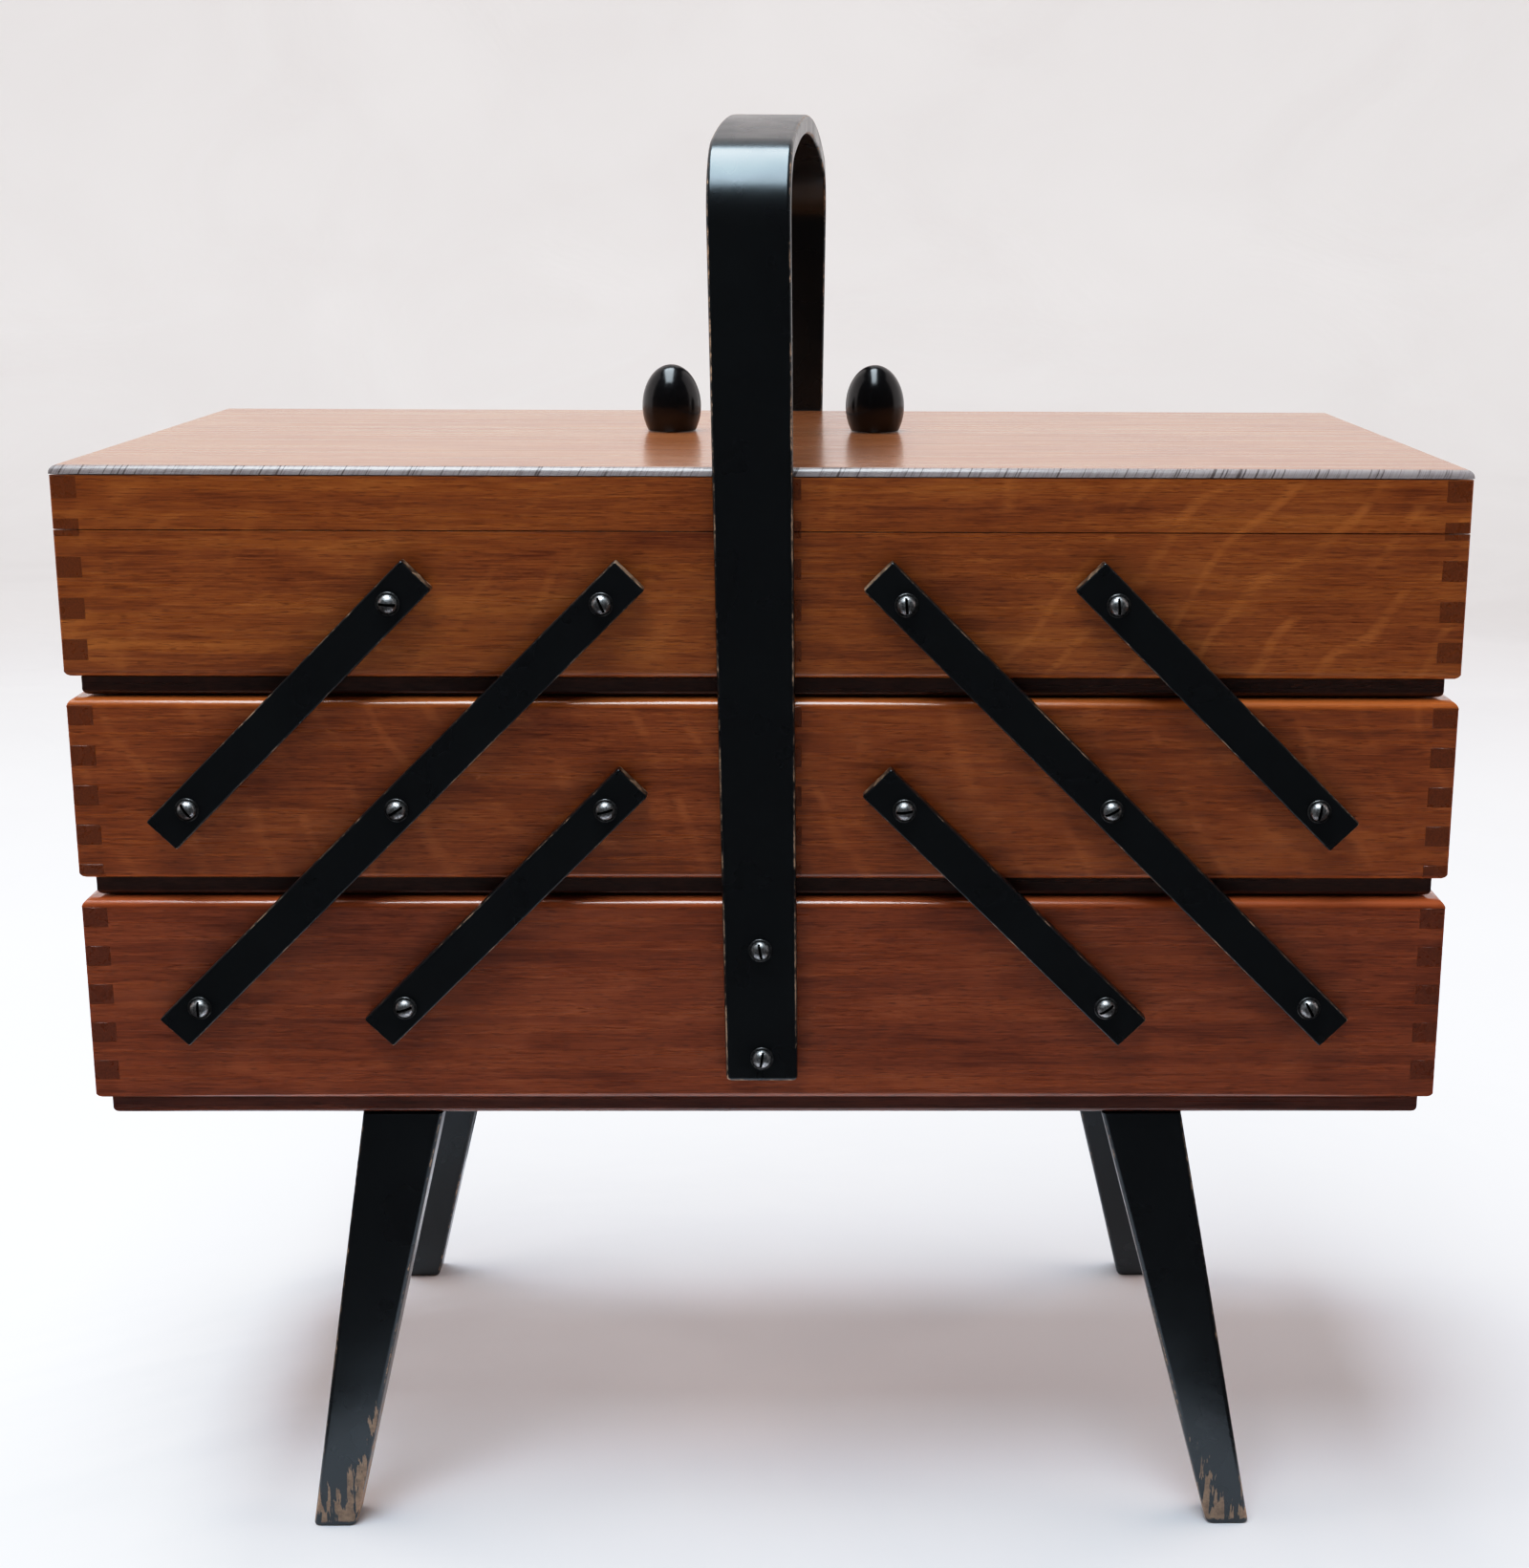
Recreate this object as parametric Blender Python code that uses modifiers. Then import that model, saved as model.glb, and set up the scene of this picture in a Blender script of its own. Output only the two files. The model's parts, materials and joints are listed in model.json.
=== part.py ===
"""A cantilever sewing box: a lower box, two middle trays, two lidded upper trays, four legs and a handle.

Metres, +Z up. The front faces -Y and the origin is on the floor under the middle of the box. The trays hang
on black arms at the front and the rear, and swing up and out to either side on them.
"""

import math

import bmesh
import bpy
from mathutils import Matrix, Vector

# Overall sizes
WIDTH = 0.430
DEPTH = 0.210
LEG_HEIGHT = 0.1488

# Boards of the boxes and trays
WALL = 0.008
LOWER_WALL_HEIGHT = 0.0667
MIDDLE_WALL_HEIGHT = 0.0576
UPPER_WALL_HEIGHT = 0.0453
LID_WALL_HEIGHT = 0.0163
LID_TOP_THICKNESS = 0.0027
BASE_THICKNESS = 0.0061
BASE_INSET = 0.004
TRAY_PARTING = 0.006
RIM_RADIUS = 0.003
LID_TOP_RADIUS = 0.0022
BASE_RADIUS = 0.002

# Pivots: heights above a tier's walls, places from the middle of the box, and insets from its ends
LOWER_PIVOT_HEIGHT = 0.0333
UPPER_PIVOT_HEIGHT = 0.0242
INNER_PIVOT_X = {"left": 0.0494, "right": 0.0430}
OUTER_PIVOT_INSET = {"left": 0.0370, "right": 0.0434}

# Arms
ARM_WIDTH = 0.0126
ARM_THICKNESS = 0.005
ARM_OVERHANG = 0.0123
ARM_EDGE = 0.0006

# Screws with their washers
SHANK_RADIUS = 0.00175
SHANK_IN_WOOD = 0.006
WASHER_RADIUS = 0.0037
WASHER_THICKNESS = 0.0008
HEAD_RADIUS = 0.0029
HEAD_HEIGHT = 0.0021
SLOT_WIDTH = 0.0008
SLOT_DEPTH = 0.0008

# Handle: a strap that leans a little, so its front and rear limbs are set out separately
HANDLE_RISE = 0.1064
HANDLE_FOOT_HEIGHT = 0.0087
HANDLE_THICKNESS = 0.0062
HANDLE_FOOT_WIDTH = 0.0227
HANDLE_TOP_WIDTH = 0.0251
HANDLE_CORNER_RADIUS = 0.026
HANDLE_CROWN_RADIUS = 0.420
HANDLE_EDGE = 0.0013
HANDLE_STANDOFF = 0.0005
HANDLE_X = {"front": (-0.0013, -0.0042), "rear": (0.0024, 0.0060)}
HANDLE_SCREW_HEIGHTS = (0.0166, 0.0525)

# Legs: the insets of each one's middle at its top and at its foot, from the end of the box
LEG_INSETS = {
    "front_left": (0.0970, 0.0680),
    "front_right": (0.0935, 0.0592),
    "rear_left": (0.0955, 0.0653),
    "rear_right": (0.0965, 0.0663),
}
LEG_TOP_WIDTH = 0.0258
LEG_FOOT_WIDTH = 0.0142
LEG_THICKNESS = 0.013
LEG_EDGE = 0.0015

# Knobs
KNOB_X = 0.0357
KNOB_Y = 0.0165
KNOB_HEIGHT = 0.0228
KNOB_RADIUS = 0.0103
KNOB_BASE_RADIUS = 0.0083
KNOB_WIDEST_HEIGHT = 0.0083
SPIGOT_RADIUS = 0.002

# Lid hinges, let into the rims where lid and tray meet
HINGE_Y = 0.060
HINGE_LENGTH = 0.024
LEAF_WIDTH = 0.0058
LEAF_THICKNESS = 0.0009
KNUCKLE_RADIUS = 0.0017
HINGE_PIN_RADIUS = 0.0006
PIN_CLEARANCE = 0.00015

# Gap between pieces that touch
GAP = 0.0003

ROUND_STEPS = 12
SIDES = {"left": -1, "right": 1}
FACES = {"front": -1, "rear": 1}

# Heights of the tiers above the floor
LOWER_BASE_Z = LEG_HEIGHT + GAP
LOWER_Z = LOWER_BASE_Z + BASE_THICKNESS + GAP
MIDDLE_BASE_Z = LOWER_Z + LOWER_WALL_HEIGHT + GAP
MIDDLE_Z = MIDDLE_BASE_Z + BASE_THICKNESS + GAP
UPPER_BASE_Z = MIDDLE_Z + MIDDLE_WALL_HEIGHT + GAP
UPPER_Z = UPPER_BASE_Z + BASE_THICKNESS + GAP
LID_Z = UPPER_Z + UPPER_WALL_HEIGHT + GAP
LID_TOP_Z = LID_Z + LID_WALL_HEIGHT + GAP
KNOB_Z = LID_TOP_Z + LID_TOP_THICKNESS + GAP
HANDLE_TOP = LID_TOP_Z + LID_TOP_THICKNESS + HANDLE_RISE

FACE_Y = DEPTH / 2
ARM_STANDOFF = WASHER_THICKNESS + 2 * GAP
INNER_END_X = TRAY_PARTING / 2
HINGE_AXIS_X = WIDTH / 2 + GAP + KNUCKLE_RADIUS
HINGE_AXIS_Z = LID_Z - GAP / 2

# Each arm's name, and the (column, row) of each of its pivots from the bottom up: columns run outwards from
# the middle of the box, and rows run up the tiers
ARMS = {
    "long_arm": ((2, 0), (1, 1), (0, 2)),
    "upper_short_arm": ((2, 1), (1, 2)),
    "lower_short_arm": ((1, 0), (0, 1)),
}


def new_collection(name):
    collection = bpy.data.collections.new(name)
    bpy.context.scene.collection.children.link(collection)
    return collection


def material(name, colour, roughness, metallic=0.0):
    made = bpy.data.materials.new(name)
    made.use_nodes = True
    shader = made.node_tree.nodes["Principled BSDF"]
    shader.inputs["Base Color"].default_value = (*colour, 1.0)
    shader.inputs["Roughness"].default_value = roughness
    shader.inputs["Metallic"].default_value = metallic
    return made


def add_axis(name, point, parent=None):
    """An empty on a joint's axis, for the pieces that turn about it."""
    empty = bpy.data.objects.new(name, None)
    empty.empty_display_size = 0.01
    empty.location = point - world_of(parent)
    empty.parent = parent
    PARTS.objects.link(empty)
    return empty


def world_of(empty):
    """Where an empty is in the world: none of them is turned, so the locations add up."""
    place = Vector((0, 0, 0))
    while empty:
        place += empty.location
        empty = empty.parent
    return place


def add_piece(name, mesh, finish, parent=None, place=None, turn=None):
    """An object for a mesh. With no place, the mesh is in world coordinates and takes its parent's origin."""
    piece = bpy.data.objects.new(name, mesh)
    if place is None:
        mesh.transform(Matrix.Translation(-world_of(parent)))
    else:
        piece.location = place - world_of(parent)
    if turn:
        piece.rotation_euler = turn
    piece.parent = parent
    if not mesh.materials:
        mesh.materials.append(finish)
    PARTS.objects.link(piece)
    return piece


def mesh_from(bm, name):
    bmesh.ops.recalc_face_normals(bm, faces=bm.faces)
    mesh = bpy.data.meshes.new(name)
    bm.to_mesh(mesh)
    bm.free()
    return mesh


def block(low, high):
    """A box between two corners."""
    low, high = Vector(low), Vector(high)
    bm = bmesh.new()
    bmesh.ops.create_cube(bm, size=1.0)
    size = Matrix.Diagonal((*(high - low), 1.0))
    bmesh.ops.transform(bm, matrix=Matrix.Translation((low + high) / 2) @ size, verts=bm.verts)
    return bm


def round_edges(bm, chosen, radius, segments=2):
    edges = [edge for edge in bm.edges if chosen(edge.verts[0].co, edge.verts[1].co)]
    bmesh.ops.bevel(bm, geom=edges, offset=radius, segments=segments, profile=0.5, affect="EDGES")


def level_edges_at(z):
    """Chooses the edges that lie level at one height."""
    return lambda a, b: abs(a.z - z) < 1e-6 and abs(b.z - z) < 1e-6


def rod(radius, start, end, steps=ROUND_STEPS):
    """A round bar between two points."""
    start, end = Vector(start), Vector(end)
    bm = bmesh.new()
    bmesh.ops.create_cone(
        bm, cap_ends=True, segments=steps, radius1=radius, radius2=radius, depth=(end - start).length
    )
    turn = (end - start).to_track_quat("Z", "Y").to_matrix().to_4x4()
    bmesh.ops.transform(bm, matrix=Matrix.Translation((start + end) / 2) @ turn, verts=bm.verts)
    return bm


def joined(parts, name):
    """One mesh of several shapes."""
    whole = bmesh.new()
    for part in parts:
        single = mesh_from(part, name)
        whole.from_mesh(single)
        bpy.data.meshes.remove(single)
    return mesh_from(whole, name)


def boolean(piece, parts, operation):
    """Cuts shapes out of a piece, or unites them with it. The shapes are in the piece's own coordinates."""
    cutter = bpy.data.objects.new(piece.name + "_" + operation.lower(), joined(parts, piece.name))
    cutter.parent = piece
    cutter.hide_render = True
    cutter.display_type = "WIRE"
    CUTTERS.objects.link(cutter)
    modifier = piece.modifiers.new(operation.title(), "BOOLEAN")
    modifier.operation = operation
    modifier.object = cutter
    modifier.solver = "EXACT"
    modifier.use_self = len(parts) > 1


def applied_mesh(piece):
    """The piece's mesh with its modifiers applied, for pieces that are used many times. The piece is removed."""
    bpy.context.view_layer.update()
    evaluated = piece.evaluated_get(bpy.context.evaluated_depsgraph_get())
    mesh = bpy.data.meshes.new_from_object(evaluated)
    for child in list(piece.children):
        bpy.data.objects.remove(child)
    bpy.data.objects.remove(piece)
    return mesh


def pivot_point(side, column, row):
    """Where a pivot's axis crosses the middle of the box, front to rear. The pivots are evenly spaced."""
    inner, outer = INNER_PIVOT_X[side], WIDTH / 2 - OUTER_PIVOT_INSET[side]
    lower, upper = LOWER_Z + LOWER_PIVOT_HEIGHT, UPPER_Z + UPPER_PIVOT_HEIGHT
    x = SIDES[side] * (inner + (outer - inner) * column / 2)
    return Vector((x, 0, lower + (upper - lower) * row / 2))


def pivots_in_row(row, sides):
    """Every pivot of one tier."""
    return [
        pivot_point(side, *pivot)
        for side in sides
        for pivots in ARMS.values()
        for pivot in pivots
        if pivot[1] == row
    ]


def handle_x(y, z):
    """How far the handle's middle line is from x = 0 at a point of the strap."""
    rear_share = (y + FACE_Y) / DEPTH
    height_share = (z - LOWER_Z) / (HANDLE_TOP - LOWER_Z)
    limbs = [foot + (top - foot) * height_share for foot, top in HANDLE_X.values()]
    return limbs[0] * (1 - rear_share) + limbs[1] * rear_share


def handle_screw_points():
    """Where the handle's screws cross the box's faces, as (face, point)."""
    for face, sign in FACES.items():
        for height in HANDLE_SCREW_HEIGHTS:
            z = LOWER_Z + height
            yield face, Vector((handle_x(sign * FACE_Y, z), sign * FACE_Y, z))


def screw_hole(point, sign):
    """The hole in a wall for one screw's shank, from outside the face inwards."""
    outside = Vector((point.x, sign * (FACE_Y + GAP), point.z))
    bottom = Vector((point.x, sign * (FACE_Y - SHANK_IN_WOOD - GAP), point.z))
    return rod(SHANK_RADIUS + GAP, outside, bottom)


def leaf_recess(side, y, z_low, z_high):
    """The recess in a rim for one hinge leaf."""
    outer = SIDES[side] * (WIDTH / 2 + GAP)
    inner = SIDES[side] * (WIDTH / 2 - LEAF_WIDTH - GAP)
    reach = HINGE_LENGTH / 2 + GAP
    return block((min(outer, inner), y - reach, z_low), (max(outer, inner), y + reach, z_high))


def span_x(side):
    """A tray's ends, left to right."""
    ends = (SIDES[side] * INNER_END_X, SIDES[side] * WIDTH / 2)
    return min(ends), max(ends)


def wall_frame(name, x_span, z, height, rounded, cuts, parent=None):
    """Four walls, made as one finger-jointed and glued frame."""
    top = z + height
    bm = block((x_span[0], -FACE_Y, z), (x_span[1], FACE_Y, top))
    if rounded:
        round_edges(bm, level_edges_at(top), RIM_RADIUS)
    frame = add_piece(name, mesh_from(bm, name), WOOD, parent)
    origin = world_of(parent)
    inside = block(
        (x_span[0] + WALL, -FACE_Y + WALL, z - WALL),
        (x_span[1] - WALL, FACE_Y - WALL, top + WALL),
    )
    for cut in [inside, *cuts]:
        bmesh.ops.translate(cut, vec=-origin, verts=cut.verts)
    boolean(frame, [inside, *cuts], "DIFFERENCE")
    return frame


def base_board(name, x_span, z, parent=None):
    """A plywood base, set in from the walls above it, with its lower edges rounded."""
    bm = block(
        (x_span[0] + BASE_INSET, -FACE_Y + BASE_INSET, z),
        (x_span[1] - BASE_INSET, FACE_Y - BASE_INSET, z + BASE_THICKNESS),
    )
    round_edges(bm, level_edges_at(z), BASE_RADIUS)
    return add_piece(name, mesh_from(bm, name), WOOD, parent)


def lower_box():
    holes = [screw_hole(point, FACES["front"]) for point in pivots_in_row(0, SIDES)]
    holes += [screw_hole(point, FACES[face]) for face, point in handle_screw_points()]
    x_span = (-WIDTH / 2, WIDTH / 2)
    wall_frame("lower_box_frame", x_span, LOWER_Z, LOWER_WALL_HEIGHT, True, holes)
    base_board("lower_box_base", x_span, LOWER_BASE_Z)


def middle_tray(side, axis):
    holes = [screw_hole(point, FACES["front"]) for point in pivots_in_row(1, [side])]
    name = f"{side}_middle_tray"
    wall_frame(name + "_frame", span_x(side), MIDDLE_Z, MIDDLE_WALL_HEIGHT, True, holes, axis)
    base_board(name + "_base", span_x(side), MIDDLE_BASE_Z, axis)


def upper_tray(side, axis):
    holes = [screw_hole(point, FACES["front"]) for point in pivots_in_row(2, [side])]
    top = UPPER_Z + UPPER_WALL_HEIGHT
    depth = LEAF_THICKNESS + GAP
    recesses = [leaf_recess(side, sign * HINGE_Y, top - depth, top + GAP / 2) for sign in FACES.values()]
    name = f"{side}_upper_tray"
    wall_frame(name + "_frame", span_x(side), UPPER_Z, UPPER_WALL_HEIGHT, False, holes + recesses, axis)
    base_board(name + "_base", span_x(side), UPPER_BASE_Z, axis)


def lid(side, axis):
    """A lid's low walls and its top board, which is drilled for the knob's spigot."""
    depth = LEAF_THICKNESS + GAP
    recesses = [
        leaf_recess(side, sign * HINGE_Y, LID_Z - GAP / 2, LID_Z + depth) for sign in FACES.values()
    ]
    wall_frame(f"{side}_lid_frame", span_x(side), LID_Z, LID_WALL_HEIGHT, False, recesses, axis)
    low, high = span_x(side)
    bm = block((low, -FACE_Y, LID_TOP_Z), (high, FACE_Y, LID_TOP_Z + LID_TOP_THICKNESS))
    round_edges(bm, level_edges_at(LID_TOP_Z + LID_TOP_THICKNESS), LID_TOP_RADIUS)
    name = f"{side}_lid_top"
    top = add_piece(name, mesh_from(bm, name), WOOD, axis)
    centre = Vector((SIDES[side] * KNOB_X, KNOB_Y, LID_TOP_Z)) - world_of(axis)
    drill = rod(SPIGOT_RADIUS + GAP, centre - Vector((0, 0, WALL)), centre + Vector((0, 0, WALL)))
    boolean(top, [drill], "DIFFERENCE")


def turned_mesh(name, profile, steps):
    """A shape turned about Z. The profile is (radius, height) from the top down its outer side."""
    mesh = bpy.data.meshes.new(name)
    edges = [(i, i + 1) for i in range(len(profile) - 1)]
    mesh.from_pydata([(radius, 0, height) for radius, height in profile], edges, [])
    piece = bpy.data.objects.new(name, mesh)
    CUTTERS.objects.link(piece)
    screw = piece.modifiers.new("Turn", "SCREW")
    screw.steps = steps
    screw.render_steps = steps
    screw.use_merge_vertices = True
    screw.merge_threshold = 0.00001
    screw.use_normal_calculate = False
    return applied_mesh(piece)


def knob(side, axis):
    """An egg-shaped knob on a spigot through the lid's top board."""
    name = f"{side}_knob"
    rise = KNOB_HEIGHT - KNOB_WIDEST_HEIGHT
    start = math.acos(KNOB_BASE_RADIUS / KNOB_RADIUS)
    profile = []
    for step in range(8):
        angle = math.pi / 2 * (1 - step / 8)
        profile.append((KNOB_RADIUS * math.cos(angle), KNOB_WIDEST_HEIGHT + rise * math.sin(angle)))
    for step in range(4):
        angle = -start * step / 3
        drop = KNOB_WIDEST_HEIGHT * math.sin(angle) / math.sin(start)
        profile.append((KNOB_RADIUS * math.cos(angle), KNOB_WIDEST_HEIGHT + drop))
    spigot_end = -LID_TOP_THICKNESS
    profile += [(SPIGOT_RADIUS, 0), (SPIGOT_RADIUS, spigot_end), (0, spigot_end)]
    place = Vector((SIDES[side] * KNOB_X, KNOB_Y, KNOB_Z))
    add_piece(name, turned_mesh(name, profile, 16), BLACK_PAINT, axis, place)


def screw_mesh(name, standoff, grip):
    """A round-headed screw with washers, along Z: z = 0 is the wood's face, the head is at the top.

    The grip is the thickness of what it holds, and the standoff is that piece's distance from the wood.
    """
    under_head = standoff + grip + GAP
    head = under_head + WASHER_THICKNESS
    profile = [(0, head + HEAD_HEIGHT)]
    for step in (1, 2, 3):
        angle = math.pi / 2 * step / 3
        profile.append((HEAD_RADIUS * math.sin(angle), head + HEAD_HEIGHT * math.cos(angle)))
    profile += [(WASHER_RADIUS, head), (WASHER_RADIUS, under_head), (SHANK_RADIUS, under_head)]
    if standoff > WASHER_THICKNESS:
        profile += [(SHANK_RADIUS, standoff - GAP), (WASHER_RADIUS, standoff - GAP)]
        profile += [(WASHER_RADIUS, GAP), (SHANK_RADIUS, GAP)]
    profile += [(SHANK_RADIUS, -SHANK_IN_WOOD), (0, -SHANK_IN_WOOD)]
    piece = bpy.data.objects.new(name, turned_mesh(name, profile, ROUND_STEPS))
    PARTS.objects.link(piece)
    crown = head + HEAD_HEIGHT
    slot = block(
        (-HEAD_RADIUS, -SLOT_WIDTH / 2, crown - SLOT_DEPTH), (HEAD_RADIUS, SLOT_WIDTH / 2, crown + SLOT_DEPTH)
    )
    boolean(piece, [slot], "DIFFERENCE")
    return applied_mesh(piece)


def add_screw(name, mesh, point, face, slot_angle, parent=None):
    """Puts a screw into a face of the box, with its slot turned by an angle."""
    sign = FACES[face]
    place = Vector((point.x, sign * FACE_Y, point.z))
    outwards = Matrix.Rotation(-sign * math.pi / 2, 4, "X")
    turn = (outwards @ Matrix.Rotation(slot_angle, 4, "Z")).to_euler()
    return add_piece(name, mesh, STEEL, parent, place, turn)


def arm_mesh(name, spacings):
    """A bar along +X with a pivot hole at the origin and one at each spacing."""
    low = (-ARM_OVERHANG, -ARM_THICKNESS / 2, -ARM_WIDTH / 2)
    high = (spacings[-1] + ARM_OVERHANG, ARM_THICKNESS / 2, ARM_WIDTH / 2)
    bm = block(low, high)
    round_edges(bm, lambda a, b: True, ARM_EDGE, 1)
    piece = bpy.data.objects.new(name, mesh_from(bm, name))
    PARTS.objects.link(piece)
    holes = [
        rod(SHANK_RADIUS + GAP, (x, -ARM_THICKNESS, 0), (x, ARM_THICKNESS, 0)) for x in (0, *spacings)
    ]
    boolean(piece, holes, "DIFFERENCE")
    return applied_mesh(piece)


def arm_pair(side, kind, axis):
    """The front and the rear arm of one kind, turning together about their lowest pivot."""
    lowest, *others = (pivot_point(side, *pivot) for pivot in ARMS[kind])
    along = others[-1] - lowest
    slope = math.atan2(along.z, along.x)
    mesh = arm_mesh(f"{side}_{kind}", [(point - lowest).length for point in others])
    for face, sign in FACES.items():
        y = sign * (FACE_Y + ARM_STANDOFF + ARM_THICKNESS / 2)
        place = Vector((lowest.x, y, lowest.z))
        add_piece(f"{side}_{kind}_{face}", mesh, BLACK_PAINT, axis, place, (0, -slope, 0))


def leg(corner):
    """A board that tapers to its foot, with its face flush with the edge of the base."""
    top, foot = (WIDTH / 2 - inset for inset in LEG_INSETS[corner])
    face, side = corner.split("_")
    outer_y = FACES[face] * (FACE_Y - BASE_INSET)
    inner_y = outer_y - FACES[face] * LEG_THICKNESS
    bm = block((-1, min(outer_y, inner_y), 0), (1, max(outer_y, inner_y), LEG_HEIGHT))
    for vertex in bm.verts:
        at_top = vertex.co.z > LEG_HEIGHT / 2
        middle = SIDES[side] * (top if at_top else foot)
        width = LEG_TOP_WIDTH if at_top else LEG_FOOT_WIDTH
        vertex.co.x = middle + vertex.co.x * width / 2
    round_edges(bm, lambda a, b: abs(a.z - b.z) > LEG_HEIGHT / 2, LEG_EDGE)
    name = f"{corner}_leg"
    add_piece(name, mesh_from(bm, name), BLACK_PAINT)


def handle_outline():
    """The strap's outer line from the front foot over the top to the rear foot, as (y, z, outward angle)."""
    reach = FACE_Y + HANDLE_STANDOFF + HANDLE_THICKNESS
    corner_y = reach - HANDLE_CORNER_RADIUS
    centres_apart = HANDLE_CROWN_RADIUS - HANDLE_CORNER_RADIUS
    crown_z = HANDLE_TOP - HANDLE_CROWN_RADIUS
    corner_z = crown_z + math.sqrt(centres_apart**2 - corner_y**2)
    meeting = math.atan2(corner_z - crown_z, corner_y)
    foot = LOWER_Z + HANDLE_FOOT_HEIGHT
    half = [(reach, foot + (corner_z - foot) * step / 6, 0.0) for step in range(6)]
    for step in range(7):
        angle = meeting * step / 6
        y = corner_y + HANDLE_CORNER_RADIUS * math.cos(angle)
        half.append((y, corner_z + HANDLE_CORNER_RADIUS * math.sin(angle), angle))
    for step in range(1, 6):
        angle = meeting + (math.pi / 2 - meeting) * step / 5
        y = HANDLE_CROWN_RADIUS * math.cos(angle)
        half.append((y, crown_z + HANDLE_CROWN_RADIUS * math.sin(angle), angle))
    front = [(-y, z, math.pi - angle) for y, z, angle in half[:-1]]
    return front + half[::-1]


def handle():
    """The bentwood strap, lofted along its outline: its width and its lean change on the way."""
    foot = LOWER_Z + HANDLE_FOOT_HEIGHT
    bm = bmesh.new()
    rings = []
    for y, z, angle in handle_outline():
        share = (z - foot) / (HANDLE_TOP - foot)
        half_width = (HANDLE_FOOT_WIDTH + (HANDLE_TOP_WIDTH - HANDLE_FOOT_WIDTH) * share) / 2
        middle = handle_x(y, z)
        inner_y = y - HANDLE_THICKNESS * math.cos(angle)
        inner_z = z - HANDLE_THICKNESS * math.sin(angle)
        corners = (
            (middle - half_width, y, z),
            (middle + half_width, y, z),
            (middle + half_width, inner_y, inner_z),
            (middle - half_width, inner_y, inner_z),
        )
        rings.append([bm.verts.new(corner) for corner in corners])
    for first, second in zip(rings, rings[1:]):
        for i in range(4):
            j = (i + 1) % 4
            bm.faces.new((first[i], first[j], second[j], second[i]))
    bm.faces.new(rings[0])
    bm.faces.new(rings[-1][::-1])
    strap = add_piece("handle", mesh_from(bm, "handle"), BLACK_PAINT)
    edge = strap.modifiers.new("Edges", "BEVEL")
    edge.width = HANDLE_EDGE
    edge.segments = 2
    edge.limit_method = "ANGLE"
    edge.angle_limit = math.radians(60)
    reach = FACE_Y + HANDLE_STANDOFF + HANDLE_THICKNESS
    holes = [
        rod(
            SHANK_RADIUS + GAP,
            (point.x, FACES[face] * (FACE_Y - GAP), point.z),
            (point.x, FACES[face] * (reach + GAP), point.z),
        )
        for face, point in handle_screw_points()
    ]
    boolean(strap, holes, "DIFFERENCE")


def hinge_leaf(name, side, y, above, parent):
    """One leaf of a butt hinge. The lower leaf has the middle knuckle and the pin, the upper one the outer two."""
    sign = SIDES[side]
    axis_x = sign * HINGE_AXIS_X
    inner_x = sign * (WIDTH / 2 - LEAF_WIDTH)
    seam = HINGE_AXIS_Z
    plate_z = (seam + GAP / 2, seam + GAP / 2 + LEAF_THICKNESS)
    if not above:
        plate_z = (seam - GAP / 2 - LEAF_THICKNESS, seam - GAP / 2)
    third = HINGE_LENGTH / 3
    ends = [(-HINGE_LENGTH / 2, -third / 2 - GAP), (third / 2 + GAP, HINGE_LENGTH / 2)]
    if not above:
        ends = [(-third / 2, third / 2)]
    low_x, high_x = sorted((axis_x, inner_x))
    flat_low, flat_high = sorted((sign * WIDTH / 2, inner_x))
    plate = block(
        (flat_low, y - HINGE_LENGTH / 2, plate_z[0]), (flat_high, y + HINGE_LENGTH / 2, plate_z[1])
    )
    shapes = []
    for start, end in ends:
        shapes.append(block((low_x, y + start, plate_z[0]), (high_x, y + end, plate_z[1])))
        shapes.append(rod(KNUCKLE_RADIUS, (axis_x, y + start, seam), (axis_x, y + end, seam)))
    if not above:
        pin_reach = HINGE_LENGTH / 2
        shapes.append(rod(HINGE_PIN_RADIUS, (axis_x, y - pin_reach, seam), (axis_x, y + pin_reach, seam)))
    origin = world_of(parent)
    leaf = add_piece(name, mesh_from(plate, name), BRASS, parent)
    for shape in shapes:
        bmesh.ops.translate(shape, vec=-origin, verts=shape.verts)
    boolean(leaf, shapes, "UNION")
    if above:
        reach = HINGE_LENGTH
        bore = rod(HINGE_PIN_RADIUS + PIN_CLEARANCE, (axis_x, y - reach, seam), (axis_x, y + reach, seam))
        bmesh.ops.translate(bore, vec=-origin, verts=bore.verts)
        boolean(leaf, [bore], "DIFFERENCE")


def hinges(side, tray_axis, lid_axis):
    for face, sign in FACES.items():
        hinge_leaf(f"{side}_{face}_hinge_tray_leaf", side, sign * HINGE_Y, False, tray_axis)
        hinge_leaf(f"{side}_{face}_hinge_lid_leaf", side, sign * HINGE_Y, True, lid_axis)


def pivot_screws(side, mesh, axes):
    """The front screws of one side, each riding on the box or tray that it is screwed into."""
    places = ("lower", "middle", "upper")
    for number, (kind, pivots) in enumerate(ARMS.items()):
        for pivot in pivots:
            row = pivot[1]
            name = f"{side}_{kind}_{places[row]}_screw"
            slot_angle = math.radians(35 + 50 * number + 110 * row)
            add_screw(name, mesh, pivot_point(side, *pivot), "front", slot_angle, axes[row])


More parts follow.
